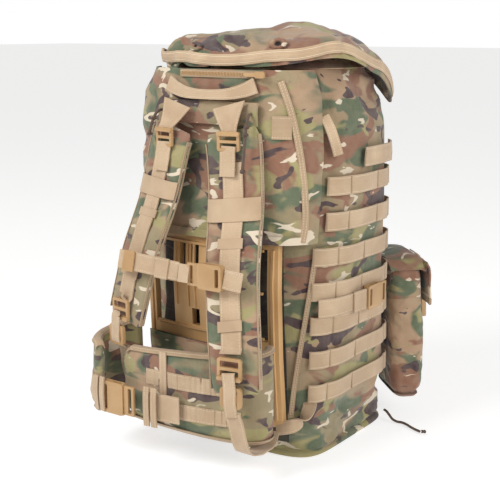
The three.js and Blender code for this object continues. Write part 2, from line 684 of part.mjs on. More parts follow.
/** Prism between two equal outlines that are not convex. */
function flapSolid([near, far]) {
  const points = [];
  const count = near.length;
  const flat = near.map(({ y, z }) => new THREE.Vector2(y, z));
  for (const [a, b, c] of THREE.ShapeUtils.triangulateShape(flat, [])) {
    points.push(near[c], near[b], near[a], far[a], far[b], far[c]);
  }
  for (let i = 0; i < count; i += 1) {
    const next = (i + 1) % count;
    points.push(near[i], near[next], far[next], near[i], far[next], far[i]);
  }
  return closedGeometry(points);
}

// ---- Base drawcord ----
const DRAWCORD = [
  [152, 86, 15], [157, 84, 14], [163, 82, 10], [169, 81, 5], [176, 82, 2.3], [184, 83, 2.2],
  [193, 80, 2.2], [203, 74, 2.2], [213, 69, 2.2], [222, 66, 2.2],
];

function makeDrawcord() {
  const route = DRAWCORD.map(([x, y, z]) => vec(x, y, z));
  add('base_drawcord', cordTube(route, CORD_DIAMETER, 16), 'cord');
  const knot = new THREE.SphereGeometry(5, 10, 8);
  knot.scale(1.3, 1, 0.8);
  const mesh = add('base_drawcord_knot', tidy(knot), 'cord');
  mesh.position.set(229, 63.5, 4.2);
}

makeFrame();
makeBag();
makeLid();
makeSleeve();
makeYoke();
makeBackZip();
makeHandle();
makePads();
makeSternumStrap();
makeBelt();
makeWaistBuckle();
makeWebbing();
makeCompression();
makePouches();
makeDrawcord();

export default rucksack;
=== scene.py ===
# %% [markdown]
# # Framed field rucksack
# A rucksack of this kind is a cloth bag laced to a moulded plastic frame. Shoulder pads, a hip belt and rows
# of webbing are sewn or threaded on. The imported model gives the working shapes. This lesson dresses them in
# cloth, webbing and moulded plastic, one piece after another.

# %% Load the frame
import json
import math

import bmesh
import bpy
from mathutils import Vector, noise
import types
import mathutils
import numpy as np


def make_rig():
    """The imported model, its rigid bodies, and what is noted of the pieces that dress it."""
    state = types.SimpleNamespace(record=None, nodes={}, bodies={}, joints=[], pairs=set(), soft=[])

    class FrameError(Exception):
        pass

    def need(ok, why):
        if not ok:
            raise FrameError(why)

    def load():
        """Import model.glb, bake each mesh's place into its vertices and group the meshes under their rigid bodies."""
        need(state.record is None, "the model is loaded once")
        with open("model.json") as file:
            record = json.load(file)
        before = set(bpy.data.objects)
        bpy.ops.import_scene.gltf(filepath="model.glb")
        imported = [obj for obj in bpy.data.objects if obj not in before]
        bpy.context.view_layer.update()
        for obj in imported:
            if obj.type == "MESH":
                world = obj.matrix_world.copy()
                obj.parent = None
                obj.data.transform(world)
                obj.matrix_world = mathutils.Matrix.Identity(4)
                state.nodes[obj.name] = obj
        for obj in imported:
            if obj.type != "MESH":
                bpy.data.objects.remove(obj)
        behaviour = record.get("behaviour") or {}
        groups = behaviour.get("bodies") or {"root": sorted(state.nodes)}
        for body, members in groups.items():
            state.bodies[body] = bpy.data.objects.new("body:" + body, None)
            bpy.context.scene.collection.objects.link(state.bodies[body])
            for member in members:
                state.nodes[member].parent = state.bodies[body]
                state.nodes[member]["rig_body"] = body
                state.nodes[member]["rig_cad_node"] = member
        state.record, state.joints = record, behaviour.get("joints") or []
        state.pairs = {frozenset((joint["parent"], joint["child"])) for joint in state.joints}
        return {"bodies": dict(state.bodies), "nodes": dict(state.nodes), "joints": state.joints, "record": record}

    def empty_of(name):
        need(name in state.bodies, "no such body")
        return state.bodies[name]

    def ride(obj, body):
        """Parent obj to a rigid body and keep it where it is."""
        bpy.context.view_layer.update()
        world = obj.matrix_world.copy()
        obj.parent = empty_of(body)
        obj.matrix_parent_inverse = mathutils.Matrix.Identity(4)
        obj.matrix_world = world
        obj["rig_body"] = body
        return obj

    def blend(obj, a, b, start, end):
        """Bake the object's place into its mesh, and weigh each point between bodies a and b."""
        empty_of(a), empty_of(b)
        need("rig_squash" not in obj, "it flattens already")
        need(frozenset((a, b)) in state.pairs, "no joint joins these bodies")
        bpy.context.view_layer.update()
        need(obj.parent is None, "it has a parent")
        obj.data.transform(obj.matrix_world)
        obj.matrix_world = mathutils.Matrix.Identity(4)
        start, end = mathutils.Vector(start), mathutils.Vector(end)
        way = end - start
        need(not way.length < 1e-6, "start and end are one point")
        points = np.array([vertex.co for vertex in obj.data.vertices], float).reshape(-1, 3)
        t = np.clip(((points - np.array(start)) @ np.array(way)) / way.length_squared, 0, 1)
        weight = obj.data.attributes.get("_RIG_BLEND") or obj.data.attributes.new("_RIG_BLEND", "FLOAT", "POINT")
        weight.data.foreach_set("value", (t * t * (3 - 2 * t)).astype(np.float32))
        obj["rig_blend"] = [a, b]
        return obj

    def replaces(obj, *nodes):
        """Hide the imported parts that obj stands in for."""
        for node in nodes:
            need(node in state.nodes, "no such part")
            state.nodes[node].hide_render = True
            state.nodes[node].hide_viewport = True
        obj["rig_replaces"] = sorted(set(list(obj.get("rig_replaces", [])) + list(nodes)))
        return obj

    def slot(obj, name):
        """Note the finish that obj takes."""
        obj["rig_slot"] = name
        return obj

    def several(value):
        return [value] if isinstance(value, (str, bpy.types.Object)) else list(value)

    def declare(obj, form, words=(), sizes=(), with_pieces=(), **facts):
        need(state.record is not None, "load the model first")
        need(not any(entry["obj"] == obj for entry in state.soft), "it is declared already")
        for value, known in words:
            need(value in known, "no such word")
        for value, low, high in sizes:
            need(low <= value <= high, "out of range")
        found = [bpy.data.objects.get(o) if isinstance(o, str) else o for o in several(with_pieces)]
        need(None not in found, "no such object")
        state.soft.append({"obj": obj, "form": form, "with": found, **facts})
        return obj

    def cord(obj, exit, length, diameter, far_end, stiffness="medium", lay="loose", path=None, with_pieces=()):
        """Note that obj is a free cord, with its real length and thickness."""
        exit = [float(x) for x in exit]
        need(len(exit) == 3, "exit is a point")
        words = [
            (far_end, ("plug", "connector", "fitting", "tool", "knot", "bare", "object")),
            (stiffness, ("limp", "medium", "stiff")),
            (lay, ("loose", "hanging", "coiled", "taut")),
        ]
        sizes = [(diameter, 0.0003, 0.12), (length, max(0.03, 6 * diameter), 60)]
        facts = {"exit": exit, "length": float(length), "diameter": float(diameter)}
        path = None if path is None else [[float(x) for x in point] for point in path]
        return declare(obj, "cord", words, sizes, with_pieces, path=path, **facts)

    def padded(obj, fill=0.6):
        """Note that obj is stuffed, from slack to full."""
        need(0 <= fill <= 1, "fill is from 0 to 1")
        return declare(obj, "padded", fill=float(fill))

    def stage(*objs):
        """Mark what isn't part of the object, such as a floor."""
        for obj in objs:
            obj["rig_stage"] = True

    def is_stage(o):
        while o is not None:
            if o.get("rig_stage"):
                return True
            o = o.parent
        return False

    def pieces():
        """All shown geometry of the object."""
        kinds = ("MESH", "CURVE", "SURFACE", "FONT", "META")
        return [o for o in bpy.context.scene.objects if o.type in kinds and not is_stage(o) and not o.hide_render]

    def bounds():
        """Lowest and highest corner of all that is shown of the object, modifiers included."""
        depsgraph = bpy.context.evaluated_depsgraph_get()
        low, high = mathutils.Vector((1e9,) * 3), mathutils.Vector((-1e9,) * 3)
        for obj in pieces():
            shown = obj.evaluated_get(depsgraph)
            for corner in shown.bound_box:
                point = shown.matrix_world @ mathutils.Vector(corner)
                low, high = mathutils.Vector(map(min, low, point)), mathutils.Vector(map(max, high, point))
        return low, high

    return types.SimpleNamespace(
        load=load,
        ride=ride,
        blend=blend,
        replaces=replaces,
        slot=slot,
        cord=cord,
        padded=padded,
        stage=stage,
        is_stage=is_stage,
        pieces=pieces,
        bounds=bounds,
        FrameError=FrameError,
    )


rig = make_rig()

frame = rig.load()
cad_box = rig.bounds()
MM = 0.001
print("CAD nodes:", len(frame["nodes"]))

# %% [markdown]
# ## Camera, floor and light
# The camera stands to the wearer's side and a little above, with a long lens, so that upright lines stay
# nearly upright. Large soft lamps give the even light of a studio, and the pale floor shows a faint shadow.

# %% Camera, floor and light
def add_object(name, data):
    thing = bpy.data.objects.new(name, data)
    bpy.context.scene.collection.objects.link(thing)
    return thing


def look_at(thing, target):
    direction = Vector(target) - thing.location
    thing.rotation_euler = direction.to_track_quat("-Z", "Y").to_euler()


def add_camera(azimuth, elevation, distance, target, lens):
    turn, rise = math.radians(azimuth), math.radians(elevation)
    away = Vector((math.sin(turn) * math.cos(rise), -math.cos(turn) * math.cos(rise), math.sin(rise)))
    camera = add_object("camera", bpy.data.cameras.new("camera"))
    camera.location = Vector(target) + away * distance
    camera.data.lens = lens
    camera.data.sensor_width = 36
    look_at(camera, target)
    bpy.context.scene.camera = camera


def add_area_light(name, place, target, size, power):
    lamp = add_object(name, bpy.data.lights.new(name, "AREA"))
    lamp.location = place
    lamp.data.size = size
    lamp.data.energy = power
    look_at(lamp, target)


MIDDLE = (-0.025, -0.020, 0.262)
LAMP_SIZE = 1.1
FLOOR_DROP = 0.0012
add_camera(azimuth=35, elevation=12, distance=1.56, target=MIDDLE, lens=75)
add_area_light("key_light", (-0.7, -1.9, 2.0), MIDDLE, LAMP_SIZE, power=46)
add_area_light("side_light", (2.3, -0.6, 1.3), MIDDLE, LAMP_SIZE, power=30)

world = bpy.data.worlds.new("studio")
world.use_nodes = True
sky = world.node_tree
soft = sky.nodes["Background"]
soft.inputs["Color"].default_value = (1.0, 0.985, 0.96, 1)
soft.inputs["Strength"].default_value = 0.36
bright = sky.nodes.new("ShaderNodeBackground")
bright.inputs["Color"].default_value = (1, 1, 1, 1)
chosen = sky.nodes.new("ShaderNodeMixShader")
rays = sky.nodes.new("ShaderNodeLightPath")
sky.links.new(rays.outputs["Is Camera Ray"], chosen.inputs[0])
sky.links.new(soft.outputs[0], chosen.inputs[1])
sky.links.new(bright.outputs[0], chosen.inputs[2])
sky.links.new(chosen.outputs[0], sky.nodes["World Output"].inputs["Surface"])
bpy.context.scene.world = world
bpy.context.scene.view_settings.view_transform = "Standard"

bpy.ops.mesh.primitive_plane_add(size=60, location=(0, 0, -FLOOR_DROP))
floor = bpy.context.object
floor.name = "floor"
paper = bpy.data.materials.new("floor_paper")
paper.use_nodes = True
paper_shader = paper.node_tree.nodes["Principled BSDF"]
paper_shader.inputs["Base Color"].default_value = (0.5, 0.5, 0.5, 1)
paper_shader.inputs["Roughness"].default_value = 1.0
paper_shader.inputs["Emission Color"].default_value = (1, 1, 1, 1)
paper_shader.inputs["Emission Strength"].default_value = 0.66
floor.data.materials.append(paper)
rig.stage(floor)

# %% [markdown]
# ## Finishes
# Five finishes cover the rucksack: printed cloth, webbing, moulded polymer, hardware and cord. Each is a node
# tree. Patterns read Object coordinates, so the print runs across neighbouring panels. Webbing reads its own
# UV map. The first number runs along the strap and the second is the distance from its edge, both in metres.

# %% Colour and node helpers
def srgb(red, green, blue):
    """A linear colour from everyday 0-255 values."""
    linear = [
        ((channel / 255 + 0.055) / 1.055) ** 2.4 if channel > 10 else channel / 255 / 12.92
        for channel in (red, green, blue)
    ]
    return (*linear, 1)


def new_material(name, roughness, sheen=0.0):
    material = bpy.data.materials.new(name)
    material.use_nodes = True
    shader = material.node_tree.nodes["Principled BSDF"]
    shader.inputs["Roughness"].default_value = roughness
    shader.inputs["Sheen Weight"].default_value = sheen
    return material, material.node_tree, shader


def feed(tree, socket, value):
    """Links a socket to another node's output, or sets it to a plain value."""
    if isinstance(value, bpy.types.NodeSocket):
        tree.links.new(value, socket)
    else:
        socket.default_value = value


def add_node(tree, kind, settings=None, **inputs):
    node = tree.nodes.new(kind)
    for key, value in (settings or {}).items():
        setattr(node, key, value)
    for key, value in inputs.items():
        feed(tree, node.inputs[key.replace("_", " ")], value)
    return node


def math_node(tree, operation, first, second=0.0):
    node = tree.nodes.new("ShaderNodeMath")
    node.operation = operation
    for socket, value in zip(node.inputs, (first, second)):
        feed(tree, socket, value)
    return node.outputs[0]


def mix_colour(tree, factor, first, second):
    node = tree.nodes.new("ShaderNodeMix")
    node.data_type = "RGBA"
    for slot, value in ((0, factor), (6, first), (7, second)):
        feed(tree, node.inputs[slot], value)
    return node.outputs[2]


def blotch(tree, coordinates, shift, stretch, scale, low, high, detail=3.0, distortion=0.4):
    """0..1 mask of soft-edged islands: a noise cut between two levels."""
    moved = add_node(tree, "ShaderNodeMapping", Vector=coordinates, Location=shift, Scale=stretch)
    field = add_node(
        tree, "ShaderNodeTexNoise", Vector=moved.outputs[0], Scale=scale, Detail=detail,
        Roughness=0.5, Distortion=distortion,
    )
    cut = add_node(tree, "ShaderNodeMapRange", Value=field.outputs[0], From_Min=low, From_Max=high)
    return cut.outputs[0]


def add_bump(tree, shader, height, strength, distance, under=None):
    bump = add_node(tree, "ShaderNodeBump", Height=height, Strength=strength, Distance=distance)
    if under is not None:
        tree.links.new(under, bump.inputs["Normal"])
    tree.links.new(bump.outputs[0], shader.inputs["Normal"])
    return bump.outputs[0]

# %% [markdown]
# ### Printed cloth
# The print lays earth tones over each other: a ground that fades between tan and olive, then green, rust and
# light olive islands, dark twig shapes and small pale flecks. All of them are wider than they are tall. A
# square ripstop grid and soft creases go into the bump.

# %% Printed cloth
def printed_cloth(name, brightness=1.0):
    material, tree, shader = new_material(name, 0.86, 0.25)
    place = add_node(tree, "ShaderNodeTexCoord").outputs["Object"]

    def tone(*rgb):
        return srgb(*(channel * brightness for channel in rgb))

    wide = (1.0, 1.0, 1.8)
    fade = blotch(tree, place, (0, 0, 0), (1, 1, 1.3), 6, 0.44, 0.56)
    colour = mix_colour(tree, fade, tone(176, 144, 114), tone(148, 134, 100))
    layers = [  # shift, stretch, scale, the two levels of the cut, and the colour
        ((3.1, 0, 0.4), wide, 10, 0.500, 0.545, tone(88, 102, 76)),
        ((0, 5.2, 1.7), wide, 12, 0.530, 0.570, tone(142, 98, 76)),
        ((7.4, 1.0, 3.3), wide, 11, 0.570, 0.610, tone(162, 152, 102)),
        ((1.9, 8.3, 5.1), (1.0, 1.0, 1.9), 14, 0.590, 0.600, tone(70, 50, 56)),
        ((9.2, 4.4, 0.6), (1.0, 1.0, 2.4), 22, 0.640, 0.652, tone(226, 210, 186)),
    ]
    for shift, stretch, scale, low, high, ink in layers:
        islands = blotch(tree, place, shift, stretch, scale, low, high, 2.5, 0.7)
        colour = mix_colour(tree, islands, colour, ink)
    faded = blotch(tree, place, (0, 0, 0), (1, 1, 1), 60, 0.3, 0.8, 5.0)
    colour = mix_colour(tree, math_node(tree, "MULTIPLY", faded, 0.16), colour, tone(222, 206, 176))
    tree.links.new(colour, shader.inputs["Base Color"])
    creases = add_node(
        tree, "ShaderNodeTexNoise", Vector=place, Scale=34, Detail=6, Roughness=0.6, Distortion=0.9,
    )
    relief = add_bump(tree, shader, creases.outputs[0], strength=0.55, distance=0.004)
    threads = [
        add_node(tree, "ShaderNodeTexWave", {"bands_direction": axis}, Vector=place, Scale=90, Distortion=0.3)
        for axis in ("X", "Z")
    ]
    weave = math_node(tree, "MAXIMUM", *(thread.outputs["Fac"] for thread in threads))
    add_bump(tree, shader, weave, strength=0.22, distance=0.0006, under=relief)
    return material


CLOTH = printed_cloth("printed_cloth", 0.93)
# Painted shade: a dark copy of the print, laid where shade falls behind the frame and inside the cord mouths.
PAINTED_SHADE_CLOTH = printed_cloth("cloth_painted_shade", 0.32)
print("cloth finishes made")

# %% [markdown]
# ### Webbing
# Webbing is a thick, narrow weave with fine ribs along it, and a line of stitches just inside each edge.

# %% Webbing
def webbing(name, tint, pale):
    material, tree, shader = new_material(name, 0.78, 0.3)
    texture = add_node(tree, "ShaderNodeTexCoord")
    parts = add_node(tree, "ShaderNodeSeparateXYZ", Vector=texture.outputs["UV"])
    along, inward = parts.outputs[0], parts.outputs[1]
    rib_pitch, cross_pitch = 0.0016, 0.0021
    stitch_pitch, stitch_inset, thread_half, dash_share = 0.0036, 0.0024, 0.00045, 0.62
    rib = math_node(tree, "PINGPONG", inward, rib_pitch / 2)
    cross = math_node(tree, "PINGPONG", along, cross_pitch / 2)
    weave = math_node(tree, "ADD", rib, math_node(tree, "MULTIPLY", cross, 0.6))
    off_line = math_node(tree, "ABSOLUTE", math_node(tree, "SUBTRACT", inward, stitch_inset))
    on_line = math_node(tree, "LESS_THAN", off_line, thread_half)
    phase = math_node(tree, "MODULO", along, stitch_pitch)
    dash = math_node(tree, "LESS_THAN", phase, stitch_pitch * dash_share)
    stitch = math_node(tree, "MULTIPLY", on_line, dash)
    place = texture.outputs["Object"]
    stain = blotch(tree, place, (2, 2, 2), (1, 1, 1), 22, 0.35, 0.7, 4.0)
    colour = mix_colour(tree, stain, tint, pale)
    rib_shadow = add_node(
        tree, "ShaderNodeMapRange", Value=rib, From_Min=0.0, From_Max=rib_pitch / 2, To_Min=0.26, To_Max=0.0,
    )
    colour = mix_colour(tree, rib_shadow.outputs[0], colour, srgb(120, 96, 72))
    colour = mix_colour(tree, math_node(tree, "MULTIPLY", stitch, 0.7), colour, srgb(222, 200, 168))
    tree.links.new(colour, shader.inputs["Base Color"])
    relief = add_bump(tree, shader, weave, strength=0.5, distance=0.6)
    add_bump(tree, shader, stitch, strength=0.6, distance=0.0006, under=relief)
    return material


WEBBING = webbing("tan_webbing", srgb(186, 158, 126), srgb(206, 180, 148))
BINDING = webbing("tan_binding", srgb(168, 142, 112), srgb(184, 158, 126))
print("webbing finishes made")

# %% [markdown]
# ### Moulded polymer, hardware and cord
# The frame is a satin polymer with a fine moulded grain and paler, rubbed edges. The buckles are a little
# glossier. The cord is a dark braid.

# %% Polymer, hardware and cord
def moulded(name, tint, worn, roughness):
    material, tree, shader = new_material(name, roughness)
    place = add_node(tree, "ShaderNodeTexCoord").outputs["Object"]
    patches = blotch(tree, place, (4, 1, 2), (1, 1, 1), 18, 0.3, 0.75, 4.0)
    rubbed = add_node(tree, "ShaderNodeNewGeometry").outputs["Pointiness"]
    edge = add_node(tree, "ShaderNodeMapRange", Value=rubbed, From_Min=0.52, From_Max=0.62)
    colour = mix_colour(tree, patches, tint, worn)
    colour = mix_colour(tree, math_node(tree, "MULTIPLY", edge.outputs[0], 0.5), colour, worn)
    tree.links.new(colour, shader.inputs["Base Color"])
    grain = add_node(tree, "ShaderNodeTexNoise", Vector=place, Scale=900, Detail=3)
    add_bump(tree, shader, grain.outputs[0], strength=0.25, distance=0.0004)
    return material


POLYMER = moulded("frame_polymer", srgb(186, 144, 94), srgb(206, 166, 116), 0.42)
HARDWARE = moulded("buckle_polymer", srgb(168, 132, 90), srgb(190, 154, 110), 0.38)


def braid(name, tint, fleck):
    material, tree, shader = new_material(name, 0.8, 0.2)
    place = add_node(tree, "ShaderNodeTexCoord").outputs["Object"]
    wave = add_node(tree, "ShaderNodeTexWave", {"bands_direction": "DIAGONAL"}, Vector=place, Scale=260)
    ripple = wave.outputs["Fac"]
    tree.links.new(mix_colour(tree, ripple, tint, fleck), shader.inputs["Base Color"])
    add_bump(tree, shader, ripple, strength=0.6, distance=0.0008)
    return material


CORD = braid("brown_braid", srgb(66, 50, 42), srgb(112, 88, 72))
print("polymer and cord finishes made")

# %% [markdown]
# ## Shape helpers
# Nearly every soft piece is a grid wrapped over a surface, given a wall by Solidify, or a loft through rings.
# Small creases come from a seeded noise, so that the same cloth is made on every run.

# %% Grid and loft helpers
def make_object(name, points, faces, material, uvs=None):
    mesh = bpy.data.meshes.new(name)
    mesh.from_pydata([tuple(p) for p in points], [], faces)
    if uvs is not None:
        layer = mesh.uv_layers.new(name="UVMap")
        for loop in mesh.loops:
            layer.data[loop.index].uv = uvs[loop.vertex_index]
    mesh.materials.append(material)
    return add_object(name, mesh)


def bake_modifiers(piece):
    """Turns a piece and its live modifiers into one plain mesh."""
    bpy.context.view_layer.update()
    graph = bpy.context.evaluated_depsgraph_get()
    mesh = bpy.data.meshes.new_from_object(piece.evaluated_get(graph))
    piece.modifiers.clear()
    piece.data = mesh
    return piece


def face_outwards(piece):
    shell = bmesh.new()
    shell.from_mesh(piece.data)
    bmesh.ops.recalc_face_normals(shell, faces=shell.faces)
    shell.to_mesh(piece.data)
    shell.free()


def shade(piece, angle=40):
    for polygon in piece.data.polygons:
        polygon.use_smooth = True
    piece.data.set_sharp_from_angle(angle=math.radians(angle))
    return piece


def add_wall(piece, thickness, offset):
    """Gives a sheet a wall in millimetres: offset 0 is half to each side, and -1 is all inwards."""
    solid = piece.modifiers.new("wall", "SOLIDIFY")
    solid.thickness = thickness * MM
    solid.offset = offset
    bake_modifiers(piece)
    face_outwards(piece)


def spread(start, end, count):
    return [start + (end - start) * i / count for i in range(count + 1)]


def band_uv(half_width, along=lambda u: u):
    """Webbing's UV map for a band: along(u) millimetres down its length, v from -1 to 1 across it."""
    return lambda u, v: (along(u) * MM, (1 - abs(v)) * half_width * MM)


def arc(radius):
    return lambda degrees: math.radians(degrees) * radius


def grid_piece(name, us, vs, surface, material, wall=0.0, uv=None, closed=False, angle=40):
    """Sheet over surface(u, v) in millimetres. wall is its thickness; a closed sheet joins in u."""
    rows = len(vs)
    points = [Vector(surface(u, v)) * MM for u in us for v in vs]
    uvs = [uv(u, v) for u in us for v in vs] if uv else None
    faces = []
    columns = len(us) if closed else len(us) - 1
    for i in range(columns):
        following = (i + 1) % len(us)
        for j in range(rows - 1):
            here, there = i * rows + j, following * rows + j
            faces.append((here, there, there + 1, here + 1))
    piece = make_object(name, points, faces, material, uvs)
    if wall:
        add_wall(piece, wall, 0)
    return shade(piece, angle)


def loft_piece(name, rings, material):
    """Skin through closed rings of points in millimetres, with flat ends."""
    count = len(rings[0])
    points = [Vector(p) * MM for ring in rings for p in ring]
    faces = []
    for k in range(len(rings) - 1):
        for i in range(count):
            following = (i + 1) % count
            near, far = k * count, (k + 1) * count
            faces.append((near + i, near + following, far + following, far + i))
    faces.append(tuple(range(count)))
    faces.append(tuple((len(rings) - 1) * count + i for i in range(count)))
    piece = make_object(name, points, faces, material)
    face_outwards(piece)
    return shade(piece, 50)


def crease(point, size, depth, stretch=(1, 1, 1), seed=0.0):
    """Smooth hill-and-valley number at a place, between about -depth and depth."""
    x, y, z = (value / size * factor for value, factor in zip(point, stretch))
    return noise.noise(Vector((x + seed, y - seed, z + 2 * seed))) * depth * 1.6

# %% [markdown]
# ### Paths and straps
# A strap follows a smooth path through a few points. Its width direction is given, and it is a thin, flat band
# whose grid steps lie closer together at its long edges.

# %% Paths and straps
def smooth_path(points, count):
    """count + 1 places, evenly spaced along a smooth curve through the points."""
    knots = [Vector(p) for p in points]
    knots = [2 * knots[0] - knots[1], *knots, 2 * knots[-1] - knots[-2]]
    fine = []
    for p0, p1, p2, p3 in zip(knots, knots[1:], knots[2:], knots[3:]):
        for t in spread(0, 1, 24)[:-1]:
            bend, twist = 2 * p0 - 5 * p1 + 4 * p2 - p3, 3 * p1 - p0 - 3 * p2 + p3
            fine.append(0.5 * (2 * p1 + (p2 - p0) * t + bend * t**2 + twist * t**3))
    fine.append(knots[-2])
    lengths = [0.0]
    for a, b in zip(fine, fine[1:]):
        lengths.append(lengths[-1] + (b - a).length)
    places, k = [], 0
    for wanted in spread(0, lengths[-1], count):
        while k < len(fine) - 2 and lengths[k + 1] < wanted:
            k += 1
        share = (wanted - lengths[k]) / max(lengths[k + 1] - lengths[k], 1e-9)
        places.append(fine[k].lerp(fine[k + 1], min(max(share, 0), 1)))
    return places, lengths[-1]


def frames_along(places, across):
    """For each place: the way along, the way across and the way out of the strap."""
    result = []
    for i, place in enumerate(places):
        along = (places[min(i + 1, len(places) - 1)] - places[max(i - 1, 0)]).normalized()
        wide = Vector(across(i / (len(places) - 1)) if callable(across) else across).normalized()
        outward = along.cross(wide).normalized()
        result.append((place, along, outward.cross(along).normalized(), outward))
    return result


WEB_EDGES = [-1, -0.9, -0.5, 0, 0.5, 0.9, 1]  # steps across a band, closer at its woven edges


def strap(name, points, across, width, material, thick, count, ripple=0.0):
    """Flat band of webbing. width may be a number or a function of the share 0..1 of its length."""
    places, length = smooth_path(points, count)
    stations = frames_along(places, across)

    def surface(i, v):
        place, _, wide, outward = stations[i]
        full = width(i / count) if callable(width) else width
        wave = crease(place, 26, ripple, seed=3.1) if ripple else 0
        return place + wide * (v * full / 2) + outward * wave

    def uv(i, v):
        full = width(i / count) if callable(width) else width
        return (length * i / count * MM, (1 - abs(v)) * full / 2 * MM)

    return grid_piece(name, list(range(count + 1)), WEB_EDGES, surface, material, thick, uv)


def padded_strip(name, points, across, width, thick, count, puff, seed, squareness=3.2):
    """Closed, rounded pad: superellipse sections along a path, narrowed at both ends."""
    places, _ = smooth_path(points, count)
    rings = []
    sides, crown = 28, 2.4
    for i, (place, _, wide, outward) in enumerate(frames_along(places, across)):
        share = i / count
        end = min(1.0, math.sqrt(max(0.0, min(share, 1 - share)) * 16 + 0.06))
        ring = []
        for k in range(sides):
            turn = 2 * math.pi * k / sides
            c, s = math.cos(turn), math.sin(turn)
            x = math.copysign(abs(c) ** (2 / squareness), c) * width(share) / 2 * (0.82 + 0.18 * end)
            y = math.copysign(abs(s) ** (2 / crown), s) * thick / 2 * end
            spot = place + wide * x
            y += math.copysign(1, s) * crease(spot, 17, puff, seed=seed) * abs(s)
            ring.append(spot + outward * y)
        rings.append(ring)
    return loft_piece(name, rings, CLOTH)


def refined_copy(name, node, bevel, material, body, slot):
    """Rounded-edge version of a hard CAD node, which it stands for."""
    shell = bmesh.new()
    shell.from_mesh(frame["nodes"][node].data)
    bmesh.ops.remove_doubles(shell, verts=shell.verts, dist=1e-5)
    bmesh.ops.dissolve_limit(shell, angle_limit=math.radians(1.5), verts=shell.verts, edges=shell.edges)
    mesh = bpy.data.meshes.new(name)
    shell.to_mesh(mesh)
    shell.free()
    mesh.materials.clear()
    mesh.materials.append(material)
    piece = add_object(name, mesh)
    rounding = piece.modifiers.new("rounding", "BEVEL")
    rounding.width = bevel * MM
    rounding.segments = 3
    rounding.limit_method = "ANGLE"
    rounding.angle_limit = math.radians(35)
    bake_modifiers(piece)
    shade(piece, 50)
    return place_piece(piece, body, slot, node)


def place_piece(piece, body, slot, *nodes):
    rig.ride(piece, body)
    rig.slot(piece, slot)
    if nodes:
        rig.replaces(piece, *nodes)
    return piece


def joined(name, pieces):
    """One object from several that share their finish and body."""
    merged = bmesh.new()
    for piece in pieces:
        merged.from_mesh(piece.data)
    mesh = bpy.data.meshes.new(name)
    for material in pieces[0].data.materials:
        mesh.materials.append(material)
    merged.to_mesh(mesh)
    merged.free()
    for piece in pieces:
        bpy.data.objects.remove(piece)
    return shade(add_object(name, mesh))


SIDES = {"right": 1, "left": -1}


def mirrored(sign, points):
    return [(sign * x, y, z) for x, y, z in points]


print("helpers ready")

# %% [markdown]
# ## Bag
# The bag is a tall cylinder of cloth with squared corners, nearly rectangular at its base and rounder at the
# top. Its plan is a superellipse, read from a short table of heights. The cloth has small upright creases all
# over, and loose slanting folds at its foot and above the top row of webbing.

# %% Bag plan
BAG_PLAN = [  # height, half width, half depth, squareness of the corners, middle in X and in Y
    (0, 145, 120, 6.0, 0, -3), (12, 149, 123, 6.0, 0, -4),
    (60, 153, 125, 5.0, 2, -8), (200, 159, 124, 3.6, 4, -11),
    (350, 168, 123, 3.0, 2, -11), (450, 171, 121, 2.7, 0, -10),
    (500, 166, 119, 2.6, 0, -10), (540, 148, 110, 2.5, 4, -10),
]
FRAME_PROFILE = [  # height, and the Y of the frame's front
    (48, -150), (150, -160), (250, -165), (310, -162), (400, -150), (500, -145), (560, -143),
]
BAG_TOP = 534


def read_table(table, z):
    i = 0
    while i < len(table) - 2 and z > table[i + 1][0]:
        i += 1
    low, high = table[i], table[i + 1]
    share = min(max((z - low[0]) / (high[0] - low[0]), 0), 1)
    return [a + (b - a) * share for a, b in zip(low[1:], high[1:])]


def plan_point(half_x, half_y, squareness, middle_x, middle_y, degrees, offset, z):
    turn = math.radians(degrees)
    c, s = math.cos(turn), math.sin(turn)
    x = middle_x + (half_x + offset) * math.copysign(abs(c) ** (2 / squareness), c)
    y = middle_y + (half_y + offset) * math.copysign(abs(s) ** (2 / squareness), s)
    return Vector((x, y, z))


def bag_point(degrees, z, offset):
    return plan_point(*read_table(BAG_PLAN, z), degrees, offset, z)


def frame_front(z):
    return read_table(FRAME_PROFILE, z)[0]

# %% Bag cloth
def bag_fold(degrees, z):
    """How far the cloth stands in from its fullest shape. It only ever sags inwards."""
    flat = bag_point(degrees, z, 0)
    loose = min(max((z - 465) / 30, 0), 1) + min(max((95 - z) / 40, 0), 1)
    upright = crease(flat, 30, 1.6, (1, 1, 0.25), 1.7)
    slanting = crease((flat.x + 0.6 * z, flat.y + 0.4 * z, flat.z), 46, 11.0, (0.9, 0.9, 1.3), 4.2)
    return -2.2 - abs(upright) - loose * (2.0 + abs(slanting))


def bag_skin(degrees, z):
    return bag_point(degrees, z, bag_fold(degrees, z))


bag_cloth = grid_piece(
    "bag_cloth", spread(0, 360, 240)[:-1], spread(2, BAG_TOP, 130), bag_skin, CLOTH, closed=True,
)
add_wall(bag_cloth, 1.6, -1)
shade(bag_cloth, 60)
panels = [f"bag_{side}_panel" for side in ("back", "front", "left", "right")]
place_piece(bag_cloth, "root", "cloth", *panels)


def base_rings():
    rings = []
    for z, inset in ((7, 5), (3.5, 1.2), (1.2, 0.6), (0.2, 3.5), (0, 12)):
        rings.append([plan_point(147, 122, 6, 0, -4, d, -inset, z) for d in spread(0, 360, 96)[:-1]])
    return rings


base_cloth = loft_piece("base_cloth", base_rings(), CLOTH)
place_piece(base_cloth, "root", "cloth", "bag_base")

print("bag made")

# %% Collar under the lid
def gathered_collar(degrees, share):
    """The collar leans inwards to its drawcord, and puckers as it goes."""
    pucker = share * 3.0 * math.sin(math.radians(degrees) * 22)
    inset = 5.5 + 30 * share
    height = BAG_TOP + 0.5 + 13 * share
    return plan_point(*read_table(BAG_PLAN, BAG_TOP), degrees, -inset + pucker * 0.4, height)


collar = grid_piece(
    "collar_cloth", spread(0, 360, 200)[:-1], spread(0, 1, 10), gathered_collar, CLOTH, 1.4, closed=True,
)
place_piece(collar, "root", "cloth", "collar")
